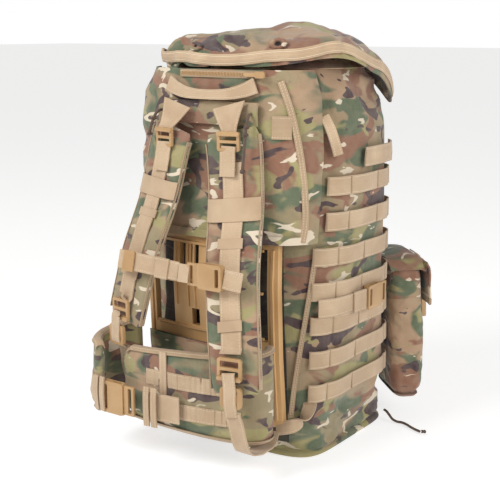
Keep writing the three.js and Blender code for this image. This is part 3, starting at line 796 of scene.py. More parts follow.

# %% [markdown]
# ## Lid
# The lid is a gathered cap. A tan hem with a drawcord in it pulls its wearer's side into folds, and leaves two
# mouths of painted shade where the cord comes out. The far right corner droops over the bag.

# %% Lid
LID = {
    "half_x": 160, "half_y": 132, "squareness": 2.6, "middle_x": 17, "middle_y": -12, "edge": 541, "top": 588,
}
LID_DROOPS = [(35, 53), (-28, -14)]  # degrees round the edge, and how far it hangs there; less than 0 is up
DROOP_WIDTH = 32
LID_MOUTHS = [(-78, -122), (22, -124)]  # where the drawcord leaves the hem
CROWN_FLOOR = 0.56  # in metres: only the hole in the lid's middle lies above it


def lid_edge(degrees):
    turned = (degrees + 90) % 360 - 90
    hanging = [depth * math.exp(-(((turned - middle) / DROOP_WIDTH) ** 2)) for middle, depth in LID_DROOPS]
    return LID["edge"] - sum(hanging)


def lid_point(degrees, reach, inset=0.0):
    edge = lid_edge(degrees)
    rise = max(0.0, 1 - reach**3) ** 0.45
    scaled = ((LID["half_x"] - inset) * reach, (LID["half_y"] - inset) * reach)
    height = edge + (LID["top"] - inset - edge) * rise
    return plan_point(*scaled, LID["squareness"], LID["middle_x"], LID["middle_y"], degrees, 0, height)


def lid_cloth(degrees, reach):
    spot = lid_point(degrees, reach, 1.5)
    turn = math.radians(degrees)
    gather = max(0.0, -math.sin(turn)) ** 1.5 * min(1, (1 - reach) * 8) * max(0.0, reach - 0.35)
    radial = math.sin(turn * 19 + 2.2 * math.sin(turn * 5)) * gather * 5.5
    broad = crease(spot, 62, 8.0, (1, 1, 1), 6.3) * min(1, (1 - reach) * 5)
    small = crease(spot, 21, 2.4, (1, 1, 0.6), 2.9) * min(1, (1 - reach) * 10)
    lump = 9 * math.exp(-(((spot.x - 62) / 60) ** 2 + ((spot.y + 10) / 55) ** 2))
    lump += 4 * math.exp(-(((spot.x + 105) / 36) ** 2 + ((spot.y + 95) / 32) ** 2))
    dip = 0.0
    for x, y in LID_MOUTHS:
        away = math.hypot((spot.x - x) / 21, (spot.y - y) / 12)
        dip += 13 * math.exp(-(away**4)) - 5.5 * math.exp(-(((away - 1.5) / 0.45) ** 2))
    spot.z += radial + broad * 0.7 + small + lump - dip - 5
    return spot


reaches = [1 - (1 - r) ** 1.6 for r in spread(0.03, 1, 70)]
lid_skin = grid_piece("lid_cloth", spread(0, 360, 260)[:-1], reaches, lid_cloth, CLOTH, closed=True)
crown = bmesh.new()
crown.from_mesh(lid_skin.data)
hole = [edge for edge in crown.edges if edge.is_boundary and edge.verts[0].co.z > CROWN_FLOOR]
bmesh.ops.holes_fill(crown, edges=hole, sides=0)
crown.to_mesh(lid_skin.data)
crown.free()
add_wall(lid_skin, 1.8, -1)
shade(lid_skin, 60)
place_piece(lid_skin, "lid", "cloth", "lid_shell")


def lid_hem_point(degrees, lift, offset):
    spot = lid_point(degrees, 0.999)
    wave = 1.3 * math.sin(math.radians(degrees) * 31) if math.sin(math.radians(degrees)) < -0.2 else 0
    away = Vector((spot.x - LID["middle_x"], spot.y - LID["middle_y"], 0)).normalized()
    return spot + away * (offset + wave) + Vector((0, 0, lift))


def hem_height(degrees):
    """The drawn hem isn't level: it sags between its two eyelets."""
    return 4 + 1.6 * math.sin(math.radians(degrees) * 9) - 1.2 * math.cos(math.radians(degrees + 90) * 3)


hem_uv = band_uv(6, arc(LID["half_x"]))
tan_hem = grid_piece(
    "lid_tan_hem", spread(-152, -28, 90), [-1, -0.85, -0.4, 0, 0.4, 0.85, 1],
    lambda d, v: lid_hem_point(d, hem_height(d) + 7.5 * v, 1.6 + 1.4 * (1 - v * v)), WEBBING, 1.6, hem_uv,
)
place_piece(tan_hem, "lid", "webbing", "lid_band")
far_hem = grid_piece(
    "lid_far_hem", spread(-28.5, 208.5, 130), [-1, -0.7, 0, 0.7, 1],
    lambda d, v: lid_hem_point(d, hem_height(d) + 6.5 * v, 0.9 + 1.2 * (1 - v * v)), WEBBING, 1.4, hem_uv,
)
place_piece(far_hem, "lid", "webbing")
print("lid made")

# %% [markdown]
# ## Frame sleeve, yoke and back zip
# The frame's top stands in a cloth pocket that wraps the bag's upper half. A yoke across the pocket takes
# the shoulder pads, and a zip runs above it under the lid's hem.

# %% Sleeve and yoke
SLEEVE_FOOT, SLEEVE_TOP, SLEEVE_CLEARANCE = 308, 534, 6


def sleeve_point(degrees, z, offset):
    half_x, _, _, middle_x, middle_y = read_table(BAG_PLAN, z)
    half_y = middle_y - (frame_front(z) - SLEEVE_CLEARANCE)
    return plan_point(half_x - 15, half_y, 4.2, middle_x, middle_y, degrees, offset, z)


def sleeve_skin(degrees, z):
    spot = sleeve_point(degrees, z, -1.2)
    loose = 1 - abs((z - 420) / 120) ** 2 * 0.6
    fold = crease((spot.x + 0.5 * z, spot.y, z), 38, 2.6, (0.8, 0.8, 1.0), 8.1) * loose
    pull = 1.2 * math.sin((spot.x - 0.45 * (z - SLEEVE_FOOT)) / 11) * max(0, 1 - abs(abs(spot.x) - 130) / 40)
    return sleeve_point(degrees, z, -0.8 + max(-2.9, min(1.6, 1.5 * fold + pull)))


SLEEVE_SPAN = (-157, -23)
sleeve = grid_piece(
    "sleeve_cloth", spread(*SLEEVE_SPAN, 150), spread(SLEEVE_FOOT, SLEEVE_TOP, 60), sleeve_skin, CLOTH, 1.6,
)
place_piece(sleeve, "root", "cloth", "frame_sleeve")


def sleeve_front(z):
    return frame_front(z) - SLEEVE_CLEARANCE


sleeve_hem = grid_piece(
    "sleeve_hem", spread(*SLEEVE_SPAN, 120), [-1, -0.6, 0, 0.6, 1],
    lambda d, v: sleeve_point(d, SLEEVE_FOOT + 6 + 5.5 * v, 0.5), CLOTH, 1.4,
)
place_piece(sleeve_hem, "root", "cloth")
YOKE_FOOT, YOKE_HEIGHT = 462, 30


def yoke_skin(x, z):
    puff = 1.6 * math.sin((z - YOKE_FOOT) / YOKE_HEIGHT * math.pi)
    return (x, sleeve_front(z) - 3.2 - puff + crease((x, 0, z), 14, 0.7), z)


yoke_heights = spread(YOKE_FOOT, YOKE_FOOT + YOKE_HEIGHT, 14)
yoke = grid_piece("yoke_cloth", spread(-82, 82, 60), yoke_heights, yoke_skin, CLOTH, 3.4)
place_piece(yoke, "root", "cloth", "yoke_panel")

# %% [markdown]
# ### Back zip
# Two rows of teeth sit on a cloth tape. The teeth repeat along a line, so Geometry Nodes places them: points
# with a direction each, a small block on every point, then one plain mesh.

# %% Blocks along points
def block_tree(name, material):
    """Node group that puts one block on every point. Length runs along the point's direction."""
    tree = bpy.data.node_groups.new(name, "GeometryNodeTree")
    face = tree.interface
    face.new_socket("Points", in_out="INPUT", socket_type="NodeSocketGeometry")
    for label, value in (("Length", 0.01), ("Width", 0.002), ("Height", 0.001)):
        face.new_socket(label, in_out="INPUT", socket_type="NodeSocketFloat").default_value = value
    face.new_socket("Blocks", in_out="OUTPUT", socket_type="NodeSocketGeometry")
    source = tree.nodes.new("NodeGroupInput")
    sink = tree.nodes.new("NodeGroupOutput")
    length, width, height = (source.outputs[label] for label in ("Length", "Width", "Height"))
    size = add_node(tree, "ShaderNodeCombineXYZ", X=length, Y=width, Z=height)
    block = add_node(tree, "GeometryNodeMeshCube", Size=size.outputs[0])
    vector_kind = {"data_type": "FLOAT_VECTOR"}
    outward = add_node(tree, "GeometryNodeInputNamedAttribute", vector_kind, Name="outward")
    along = add_node(tree, "GeometryNodeInputNamedAttribute", vector_kind, Name="along")
    up = add_node(tree, "FunctionNodeAlignRotationToVector", {"axis": "Z"}, Vector=outward.outputs["Attribute"])
    turned = add_node(
        tree, "FunctionNodeAlignRotationToVector", {"axis": "X", "pivot_axis": "Z"},
        Rotation=up.outputs[0], Vector=along.outputs["Attribute"],
    )
    placed = add_node(
        tree, "GeometryNodeInstanceOnPoints", Points=source.outputs["Points"],
        Instance=block.outputs["Mesh"], Rotation=turned.outputs[0],
    )
    real = add_node(tree, "GeometryNodeRealizeInstances", Geometry=placed.outputs[0])
    finished = add_node(tree, "GeometryNodeSetMaterial", Geometry=real.outputs[0], Material=material)
    tree.links.new(finished.outputs[0], sink.inputs[0])
    return tree


def blocks(name, spots, length, width, height, material, body, slot):
    """spots is a list of (place in mm, way along, way outward)."""
    mesh = bpy.data.meshes.new(name)
    mesh.from_pydata([tuple(Vector(place) * MM) for place, _, _ in spots], [], [])
    for k, label in ((1, "along"), (2, "outward")):
        attribute = mesh.attributes.new(label, "FLOAT_VECTOR", "POINT")
        for i, spot in enumerate(spots):
            attribute.data[i].vector = tuple(Vector(spot[k]).normalized())
    piece = add_object(name, mesh)
    tree = block_tree(name + "_tree", material)
    modifier = piece.modifiers.new("blocks", "NODES")
    modifier.node_group = tree
    sizes = {"Length": length, "Width": width, "Height": height}
    for item in tree.interface.items_tree:
        if item.name in sizes:
            modifier[item.identifier] = sizes[item.name] * MM
    bake_modifiers(piece)
    return place_piece(piece, body, slot)

# %% Back zip
ZIP_Z, ZIP_LEFT, ZIP_RIGHT = 528, -48, 88
zip_tape = grid_piece(
    "zip_tape", spread(ZIP_LEFT, ZIP_RIGHT, 40), [-1, -0.5, 0, 0.5, 1],
    lambda x, v: (x, sleeve_front(ZIP_Z) - 1.0, ZIP_Z + 5 * v), BINDING, 1.0, band_uv(5),
)
place_piece(zip_tape, "root", "webbing", "zip_track")
teeth = [
    ((x, sleeve_front(ZIP_Z) - 1.9, ZIP_Z + side * 1.3), (0, 0, 1), (0, -1, 0))
    for side in (-1, 1) for x in spread(ZIP_LEFT + 2 + (side > 0) * 1.2, ZIP_RIGHT - 2, 54)
]
blocks("zip_teeth", teeth, 2.6, 1.3, 1.0, HARDWARE, "root", "hardware")
refined_copy("zip_slider_body", "zip_slider", 0.6, HARDWARE, "zip_slider", "hardware")
print("sleeve, yoke and zip made")

# %% [markdown]
# ## Grab handle
# A folded band of webbing hangs between two sewn ends above the yoke.

# %% Grab handle
HANDLE_Z = 511
handle_wall = sleeve_front(HANDLE_Z) - 4
handle_shape = [(-66, -0.4), (-50, 0.4), (-28, 0.95), (4, 1.1), (36, 0.95), (60, 0.4), (78, -0.4)]
handle_path = [(x, handle_wall - 7 * max(0, share), HANDLE_Z - 9 * share) for x, share in handle_shape]
handle = strap(
    "handle_band", handle_path, (0, 0.12, 1), lambda s: 21 - 8 * math.sin(math.pi * s), WEBBING, 3.0, 60,
)
place_piece(handle, "handle", "webbing", "grab_handle")
print("handle made")

# %% [markdown]
# ## Moulded frame
# The frame's slats, rails and lumbar plate are one moulding. Its working shape already has every opening, so
# this copy only rounds the edges. The ribs that stiffen it come further down.

# %% Moulded frame
refined_copy("moulded_frame", "frame", 1.6, POLYMER, "root", "plastic")
print("frame made")

# %% [markdown]
# ## Webbing rows
# Rows of webbing, 25 mm wide and a little under 50 mm apart, cross the side and rear panels. Bar tacks hold
# each row down at five places, and the webbing stands a little proud between them.

# %% Webbing rows
WEB_WIDTH = 25
BAG_RADIUS = 170  # about the bag's own, to turn degrees into a length of webbing
ROW_HEIGHTS = [97 + 47.5 * k for k in range(7)]
ROW_SPANS = {"right": (-34, 41), "left": (139, 214), "rear": (58, 122)}
ROW_LOOPS = 4  # open spans between the bar tacks of a row


def row_piece(name, start, end, z):
    def surface(degrees, v):
        share = (degrees - start) / (end - start) * ROW_LOOPS
        proud = 1.5 + 2.2 * abs(math.sin(math.pi * share)) ** 0.7
        return bag_point(degrees, z + WEB_WIDTH / 2 * v, proud)

    uv = band_uv(WEB_WIDTH / 2, arc(BAG_RADIUS))
    return grid_piece(name, spread(start, end, 48), WEB_EDGES, surface, WEBBING, 1.6, uv)


def row_span(side, z):
    """Rows below the sleeve reach further towards the frame."""
    start, end = ROW_SPANS[side]
    longer = 9 if z < SLEEVE_FOOT else 0
    return (start - longer * (side == "right"), end + longer * (side == "left"))


for side in ROW_SPANS:
    rows = [row_piece(f"row_{side}_{k}", *row_span(side, z), z) for k, z in enumerate(ROW_HEIGHTS)]
    place_piece(joined(f"webbing_rows_{side}", rows), "root", "webbing", f"webbing_{side}")
    tack_spots = []
    for z in ROW_HEIGHTS:
        start, end = row_span(side, z)
        for degrees in spread(start + 0.8, end - 0.8, ROW_LOOPS):
            outward = bag_point(degrees, z, 10) - bag_point(degrees, z, 0)
            tack_spots.append((bag_point(degrees, z, 2.6), (0, 0, 1), outward))
    blocks(f"bar_tacks_{side}", tack_spots, 23, 1.8, 1.2, BINDING, "root", "webbing")
print("webbing rows made")

# %% [markdown]
# ## Shoulder pads
# Each pad is a foam strip in printed cloth. It hangs from the yoke, bulges towards the wearer at chest height
# and narrows to its lower end. A tape binds each edge, and a strap of webbing runs down its middle.

# %% Beside a path
PAD_TWIST = 0.2


def beside(points, across, sideways, lift, count=40, start=0.0, end=1.0):
    """Places along a path, moved across it and out of it. Only the part from start to end is kept."""
    places, _ = smooth_path(points, count)
    moved = []
    for i, (place, _, wide, outward) in enumerate(frames_along(places, across)):
        share = i / count
        if start <= share <= end:
            reach = sideways(share) if callable(sideways) else sideways
            moved.append(place + wide * reach + outward * lift)
    return moved


def pad_width(share):
    return 79 - 8 * share


def pad_across(sign):
    return (1, PAD_TWIST * sign, 0)


def pad_outward(sign):
    return Vector((PAD_TWIST * sign, -1, 0)).normalized()

# %% Shoulder pads
PAD_PATH = {
    "right": [
        (48, -166, 456), (55, -169, 425), (65, -180, 362), (80, -209, 290),
        (89, -221, 230), (101, -234, 180), (108, -240, 128),
    ],
    "left": [
        (48, -166, 456), (56, -169, 425), (65, -180, 362), (75, -208, 290), (84, -217, 240), (97, -219, 190),
    ],
}
LOWER_LOCK = {"right": (105, -251, 178), "left": (95, -231, 222)}
for side, sign in SIDES.items():
    path = mirrored(sign, PAD_PATH[side])
    pad = padded_strip(
        f"pad_cloth_{side}", path, pad_across(sign), pad_width, 14.5, count=90, puff=1.4, seed=2.0 + sign,
    )
    place_piece(pad, "harness", "cloth", f"shoulder_pad_{side}")
    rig.padded(pad, 0.8)
    tapes = []
    for edge in (-1, 1):
        def hem_reach(share, edge=edge):
            return edge * (pad_width(share) / 2 - 1.2)

        route = beside(path, pad_across(sign), hem_reach, 0, 60, 0.02, 0.985)
        tapes.append(strap(f"pad_tape_{side}_{edge}", route, tuple(pad_outward(sign)), 8.5, BINDING, 1.6, 90))
    place_piece(joined(f"pad_tapes_{side}", tapes), "harness", "webbing")
print("pads made")

# %% [markdown]
# ### Webbing down the pads
# The adjuster web lies on the pad, and cross bands and small keepers hold it flat. Ladder locks join it to the
# lifters above and to the lower webs.

# %% Pad webs and cross bands
for side, sign in SIDES.items():
    path = mirrored(sign, PAD_PATH[side])
    across = pad_across(sign)
    lock = Vector(mirrored(sign, [LOWER_LOCK[side]])[0])
    route = beside(path, across, 0, 9.6, 24, 0.12, 0.84 if side == "right" else 0.9)
    route.append(lock + Vector((0, 1, 5)))
    web = strap(f"pad_web_cloth_{side}", route, across, 28, WEBBING, 2.0, 90, 1.0)
    place_piece(web, "harness", "webbing", f"pad_web_{side}")
    bands = []
    for share, half, across_pad in ((0.3, 0.045, True), (0.43, 0.022, False), (0.74, 0.02, False)):
        wide = pad_width(share) / 2
        rows = spread(share - half, share + half, 6)

        def band_surface(v, s, route=path, across=across, wide=wide):
            place = beside(route, across, v * wide, 0, 200, s - 0.0026, s + 0.0026)[0]
            lift = 11.8 - 7.1 * abs(v) ** 5
            return place + pad_outward(sign) * lift

        spans = spread(-0.98, 0.98, 24) if across_pad else spread(-0.46, 0.46, 12)
        bands.append(grid_piece(f"band_{side}_{share}", spans, rows, band_surface, WEBBING, 1.6))
    place_piece(joined(f"pad_bands_{side}", bands), "harness", "webbing")
    for body, node, bevel in (
        ("lifter_lock_body", "lifter_lock", 0.8), ("lower_lock_body", "lower_lock", 0.8),
        ("release_body", "release_fitting", 1.0),
    ):
        refined_copy(f"{body}_{side}", f"{node}_{side}", bevel, HARDWARE, "harness", "hardware")
print("pad webs made")

# %% [markdown]
# ### Load lifters
# The lifter webs pull the pads' tops back towards the frame. Each one fans out from its lock into a wide
# triangle that is sewn to the yoke.

# %% Load lifters
LIFTER_X = {"right": 53, "left": 54}
for side, sign in SIDES.items():
    x = LIFTER_X[side]
    route = mirrored(sign, [
        (x, -180.5, 450), (x - 1, -178, 457), (x - 3, -175, 464), (x - 7, -170, 476), (x - 11, -165, 489),
    ])

    def fan(share):
        return 24 + 34 * max(0.0, share - 0.25)

    web = strap(f"lifter_cloth_{side}", route, (1, 0, 0), fan, WEBBING, 1.8, 40, 0.8)
    place_piece(web, "harness", "webbing", f"lifter_web_{side}")
    fold = mirrored(sign, [
        (x, -180.6, 437), (x, -182.8, 430), (x + 1, -184, 422), (x + 2, -185, 412), (x + 3, -187, 398),
    ])
    tail = strap(f"lifter_tail_{side}", fold, (1, 0, 0), 24, WEBBING, 1.8, 40, 1.2)
    place_piece(tail, "harness", "webbing")
print("lifters made")

# %% [markdown]
# ### Lower webs
# A web runs from each pad's quick-release fitting to the frame's foot. When the harness swings away from the
# frame, its upper end goes along and its lower end stays, so it bends between the two bodies.

# %% Lower webs
LOWER_WEB = {
    "right": [
        (110, -252, 104), (114, -248, 80), (117, -236, 48), (114, -206, 38), (108, -170, 38), (99, -147, 44),
    ],
    "left": [
        (105, -217, 152), (109, -206, 134), (111, -194, 96), (106, -183, 56), (104, -168, 40), (99, -147, 43),
    ],
}
RELEASE_FITTING = {"right": (108, -252, 140), "left": (102, -232, 184)}
for side, sign in SIDES.items():
    route = mirrored(sign, LOWER_WEB[side])
    web = strap(f"lower_web_cloth_{side}", route, (1, 0, 0), WEB_WIDTH, WEBBING, 2.0, 90, 2.0)
    start, end = (Vector(route[i]) * MM for i in (-1, 0))
    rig.blend(web, "root", "harness", tuple(start), tuple(end))
    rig.slot(web, "webbing")
    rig.replaces(web, f"lower_web_{side}")
    fitting, lock = (Vector(place) for place in mirrored(sign, [RELEASE_FITTING[side], LOWER_LOCK[side]]))
    loop = [
        lock + Vector((0, -2.5, -20)), lock.lerp(fitting, 0.6) + Vector((0, -5, 0)),
        fitting + Vector((0, -3.4, -4)), fitting + Vector((0, -3.4, -22)),
        Vector(route[0]) + Vector((0, -1.5, -4)),
    ]
    link = strap(f"release_web_{side}", loop, pad_across(sign), 17, WEBBING, 1.8, 40)
    place_piece(link, "harness", "webbing")
print("lower webs made")

# %% [markdown]
# ## Sternum strap
# The sternum strap crosses between the pads. Its two ends slide on the pads' webbing, and a side-release buckle
# joins the halves.

# %% Sternum strap
CHEST_SLOPE = (0, 0.19, 0.98)  # across the strap, which leans back with the wearer's chest
left_route = [
    (-92, -234.5, 280), (-74, -235.5, 279), (-50, -235, 278),
    (-20, -234.5, 276.5), (0, -235, 275.4), (11, -235, 275),
]
right_route = [(85, -235.4, 275), (98, -235, 274), (112, -234, 273)]
left_web = strap("sternum_cloth_left", left_route, CHEST_SLOPE, WEB_WIDTH, WEBBING, 2.0, 60, 1.4)
place_piece(left_web, "sternum", "webbing", "sternum_web_left")
right_web = strap("sternum_cloth_right", right_route, CHEST_SLOPE, WEB_WIDTH, WEBBING, 2.0, 24)
place_piece(right_web, "sternum", "webbing", "sternum_web_right")
sleeve_route = [(-26, -237.2, 276.9), (-16, -237.4, 276.5), (-5, -237.4, 276)]
web_sleeve = strap("sternum_sleeve", sleeve_route, CHEST_SLOPE, 27.5, WEBBING, 2.0, 12)
keeper_route = [(-82, -238, 279.6), (-74, -238, 279.2), (-64, -238, 279)]
keeper = strap("sternum_keeper", keeper_route, CHEST_SLOPE, 28, HARDWARE, 2.6, 12)
place_piece(web_sleeve, "sternum", "webbing")
place_piece(keeper, "sternum", "hardware")
loop_route = [(14, -238.4, 275), (24, -238.9, 275), (31, -238.9, 275)]
loop = strap("sternum_loop", loop_route, CHEST_SLOPE, 24, WEBBING, 1.6, 16)
place_piece(loop, "sternum_plug", "webbing")
refined_copy("sternum_socket_body", "sternum_buckle_socket", 0.9, HARDWARE, "sternum", "hardware")
refined_copy("sternum_plug_body", "sternum_buckle_plug", 0.5, HARDWARE, "sternum_plug", "hardware")
print("sternum strap made")

# %% [markdown]
# ## Hip belt
# The belt is foam in printed cloth, taller than a hand at the frame and lower towards its buckle. A tape binds
# its edges. Two rows of webbing and an upright one are sewn on its outer face.

# %% Belt wings
BELT_MIDDLE = 110.5
UPRIGHT = (0, 0, 1)
WING_PLAN = {
    "right": [(107, -162), (116, -180), (111, -198), (92, -210), (40, -223), (-40, -229), (-95, -225)],
    "left": [(-118, -160), (-137, -180), (-143, -214), (-135, -238), (-118, -250)],
}


def wing_path(side):
    drop = 1.0 if side == "right" else 0.4
    return [(x, y, BELT_MIDDLE - drop * i) for i, (x, y) in enumerate(WING_PLAN[side])]


def wing_height(share):
    return 130 - 28 * share - (max(0.0, share - 0.93) * 380)


for side in SIDES:
    path = wing_path(side)
    wing = padded_strip(
        f"belt_cloth_{side}", path, UPRIGHT, wing_height, 12.4, count=110, puff=1.5, seed=5.0, squareness=5.0,
    )
    place_piece(wing, "root", "cloth", f"belt_wing_{side}")
    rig.padded(wing, 0.75)
    strips = []
    for edge in (-1, 1):
        def hem_reach(share, edge=edge):
            return edge * (wing_height(share) / 2 - 1.5)

        route = beside(path, UPRIGHT, hem_reach, 0, 80, 0.02, 0.97)

        def surface(i, v, route=route, edge=edge):
            following = route[min(i + 1, len(route) - 1)] - route[max(i - 1, 0)]
            normal = following.cross(Vector(UPRIGHT)).normalized()
            return route[i] + normal * (v * 7.0) + Vector((0, 0, edge * (1.6 - 5.5 * abs(v) ** 3)))

        strips.append(grid_piece(
            f"belt_tape_{side}_{edge}", list(range(len(route))), spread(-1, 1, 8), surface, BINDING, 1.2,
            band_uv(7, lambda i: i * 3.5),
        ))
    place_piece(joined(f"belt_tapes_{side}", strips), "root", "webbing")
print("belt wings made")

# %% Lumbar pad
def lumbar_face(x, z):
    return frame_front(z) + 13 * (x / 112) ** 2


def lumbar_skin(x, z, front):
    puff = max(0.0, 1 - abs((x + 4) / 101) ** 6) * max(0.0, 1 - abs((z - 109) / 54) ** 6)
    rest = lumbar_face(x, z) - 9.5
    return (x, rest - (8.0 * puff + crease((x, 0, z), 30, 0.8)) * (1 if front else -1), z)


lumbar_faces = [
    grid_piece(
        f"lumbar_{front}", spread(-105, 97, 60), spread(57, 161, 30),
        lambda x, z, f=front: lumbar_skin(x, z, f), CLOTH,
    )
    for front in (True, False)
]
lumbar = joined("lumbar_cloth", lumbar_faces)
closing = bmesh.new()
closing.from_mesh(lumbar.data)
bmesh.ops.remove_doubles(closing, verts=closing.verts, dist=0.0006)
bmesh.ops.recalc_face_normals(closing, faces=closing.faces)
closing.to_mesh(lumbar.data)
closing.free()
place_piece(lumbar, "root", "cloth", "lumbar_pad")
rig.padded(lumbar, 0.8)
print("lumbar pad made")

# %% [markdown]
# ### Webbing and buckle of the belt
# Two rows of webbing run along the wing's outer face, and a narrow upright one crosses them. The wide waist
# web is folded back on itself and held by elastic keepers beside the buckle.

# %% Belt webbing
right_path = wing_path("right")
row_strips = []
for middle in (126, 84):
    route = beside(right_path, UPRIGHT, middle - BELT_MIDDLE, 0, 100, 0.24, 0.80)
    for i, place in enumerate(route):
        following = route[min(i + 1, len(route) - 1)] - route[max(i - 1, 0)]
        normal = Vector(UPRIGHT).cross(following).normalized()
        route[i] = place + normal * (-7.4 if normal.y > 0 else 7.4)
    row_strips.append(strap(f"belt_row_{middle}", route, UPRIGHT, 22, WEBBING, 1.8, 90, 0.8))
upright = [(-18, -235.5, z) for z in (60, 80, 109, 140, 160)]
row_strips.append(strap("belt_upright", upright, (1, 0.1, 0), 11, BINDING, 1.8, 30))
place_piece(joined("belt_rows", row_strips), "root", "webbing")
print("belt webbing made")

# %% Waist buckle and its webs
refined_copy("waist_socket_body", "waist_buckle_socket", 1.0, HARDWARE, "root", "hardware")
refined_copy("waist_plug_body", "waist_buckle_plug", 0.6, HARDWARE, "waist_plug", "hardware")
waist_route = [(-38, -249, 84), (-26, -247.5, 84), (-10, -244, 84), (14, -241.5, 84)]
waist = strap("waist_cloth", waist_route, UPRIGHT, 38, WEBBING, 2.0, 40, 1.0)
place_piece(waist, "root", "webbing", "waist_web")
keepers = []
for x, y in ((-34, -252), (-22, -251)):
    route = [(x, y, 56), (x, y - 1.5, 72), (x, y - 1.5, 98), (x, y, 112)]
    keepers.append(strap(f"waist_keeper_{x}", route, (1, 0.15, 0), 9, WEBBING, 2.0, 20))
for x, y in ((-112, -255), (-124, -253)):
    route = [(x, y, 62), (x, y - 2, 78), (x, y - 2, 96), (x, y, 112)]
    keepers.append(strap(f"waist_fold_{x}", route, (1, -0.2, 0), 9, WEBBING, 2.4, 20))
tail_route = [(-117, -254, 86), (-128, -253, 90), (-138, -246, 96), (-146, -238, 104)]
tail = strap("waist_tail", tail_route, (0, 0.1, 1), 34, WEBBING, 2.0, 30, 2.0)
place_piece(joined("waist_keepers", keepers + [tail]), "root", "webbing")
print("waist buckle made")

# %% [markdown]
# ## Side pouches
# A pouch sits at each far corner and leans a little towards the bag. It is a box of cloth with puffed sides.
# Its flap is bound along its lip, and a short web and a buckle hold it down.

# %% Side pouches
POUCH = {"lean": 7, "inner": 178, "outer": 237, "half": 62, "foot": 36, "top": 250, "middle_y": -8}
FLAP_EDGE = 63  # the flap's half width
FLAP_FOLD = 0.45  # the share of the flap that lies on top


def pouch_height(z):
    return (z - POUCH["foot"]) / (POUCH["top"] - POUCH["foot"])


def pouch_to_bag(sign, point):
    """From the pouch's own plan, where +Y leads away from the bag, to the bag's plan."""
    turn = math.radians(-45 * sign)
    c, s = math.cos(turn), math.sin(turn)
    x, y, z = point
    y -= POUCH["lean"] * (z - POUCH["foot"]) / (POUCH["top"] - POUCH["foot"])
    return Vector((x * c - y * s, x * s + y * c + POUCH["middle_y"], z))


def pouch_way(sign, direction):
    return pouch_to_bag(sign, direction) - pouch_to_bag(sign, (0, 0, 0))


def pouch_plan(degrees, z, inset):
    middle = (POUCH["inner"] + POUCH["outer"]) / 2
    depth = (POUCH["outer"] - POUCH["inner"]) / 2
    return plan_point(POUCH["half"], depth, 4.0, 0, middle, degrees, -inset, z)


def pouch_skin(sign, degrees, z):
    share = pouch_height(z)
    flat = pouch_plan(degrees, z, 0)
    rounded_foot = 11 * (max(0.0, 0.08 - share) / 0.08) ** 1.5
    belly = 7.5 * (1 - math.sin(math.pi * min(1, max(0, share))) ** 0.6) + rounded_foot
    fold = abs(crease((flat.x + sign * 40, flat.y, z), 34, 3.4, (1, 1, 0.8), 3.3))
    pucker = abs(crease((flat.x + 0.8 * z, flat.y, z), 17, 1.4, (1, 1, 1), 1.1 + sign))
    return pouch_to_bag(sign, pouch_plan(degrees, z, 0.8 + belly + fold + pucker))


def pouch_flap_point(sign, x, share):
    """share runs from the bag's side over the top, then from FLAP_FOLD to 1 down the outer face."""
    inner, outer, roof = POUCH["inner"], POUCH["outer"] + 1.6, POUCH["top"] + 1.8
    if share < FLAP_FOLD:
        y, z = inner + (outer - inner) * share / FLAP_FOLD, roof
    else:
        y, z = outer, roof - 66 * (share - FLAP_FOLD) / 0.55
    corner = math.exp(-(((share - FLAP_FOLD) / 0.07) ** 2))
    droop = 12 * max(0.0, (abs(x) - 40) / 22) ** 2
    dome = 6 * (1 - (x / FLAP_EDGE) ** 2) * math.sin(math.pi * min(1.0, share / FLAP_FOLD))
    wave = crease((x + 30 * sign, y, z), 22, 1.2, (1, 1, 1), 7.7)
    lip = -14 * max(0.0, share - 0.85) * (x / POUCH["half"]) ** 2
    height = z - 3.5 * corner - droop * (share < FLAP_FOLD) + dome + lip
    return pouch_to_bag(sign, (x * 0.985, y - 4.5 * corner + min(1.0, wave), height))


def pouch_hem_point(sign, x, v):
    moved = pouch_flap_point(sign, x, 0.965 + 0.03 * v) + pouch_to_bag(sign, (0, 1.8, 0))
    return moved - pouch_to_bag(sign, (0, 0, 0))


for side, sign in SIDES.items():
    heights = spread(POUCH["foot"] + 0.5, POUCH["top"] - 0.5, 90)
    body = grid_piece(
        f"pouch_cloth_{side}", spread(0, 360, 140)[:-1], heights,
        lambda d, z, s=sign: pouch_skin(s, d, z), CLOTH, 1.6, closed=True, angle=60,
    )
    floor_rings = [
        [pouch_to_bag(sign, pouch_plan(d, POUCH["foot"] + rise, inset)) for d in spread(0, 360, 80)[:-1]]
        for rise, inset in ((5, 9), (1.5, 12), (0.4, 18))
    ]
    body = joined(f"pouch_cloth_{side}", [body, loft_piece(f"pouch_floor_{side}", floor_rings, CLOTH)])
    place_piece(body, "root", "cloth", f"pouch_body_{side}")
    flap = grid_piece(
        f"pouch_flap_cloth_{side}", spread(-FLAP_EDGE, FLAP_EDGE, 60), spread(0, 1, 60),
        lambda x, t, s=sign: pouch_flap_point(s, x, t), CLOTH, 2.4, angle=60,
    )
    place_piece(flap, f"flap_{side}", "cloth", f"pouch_flap_{side}")
    hem = grid_piece(
        f"pouch_hem_{side}", spread(-FLAP_EDGE, FLAP_EDGE, 50), [-1, -0.5, 0, 0.5, 1],
        lambda x, v, s=sign: pouch_hem_point(s, x, v), BINDING, 1.2, band_uv(4),
    )
    place_piece(hem, f"flap_{side}", "webbing")
    refined_copy(
        f"pouch_buckle_body_{side}", f"pouch_buckle_{side}", 1.2, HARDWARE, f"flap_{side}", "hardware",
    )
    route = [pouch_to_bag(sign, (0, y, z)) for y, z in ((231, 254), (240.5, 246), (242, 230), (242.5, 204))]
    web = strap(f"pouch_web_{side}", route, pouch_way(sign, (1, 0, 0)), 20, WEBBING, 1.8, 30)
    place_piece(web, f"flap_{side}", "webbing")
print("pouches made")

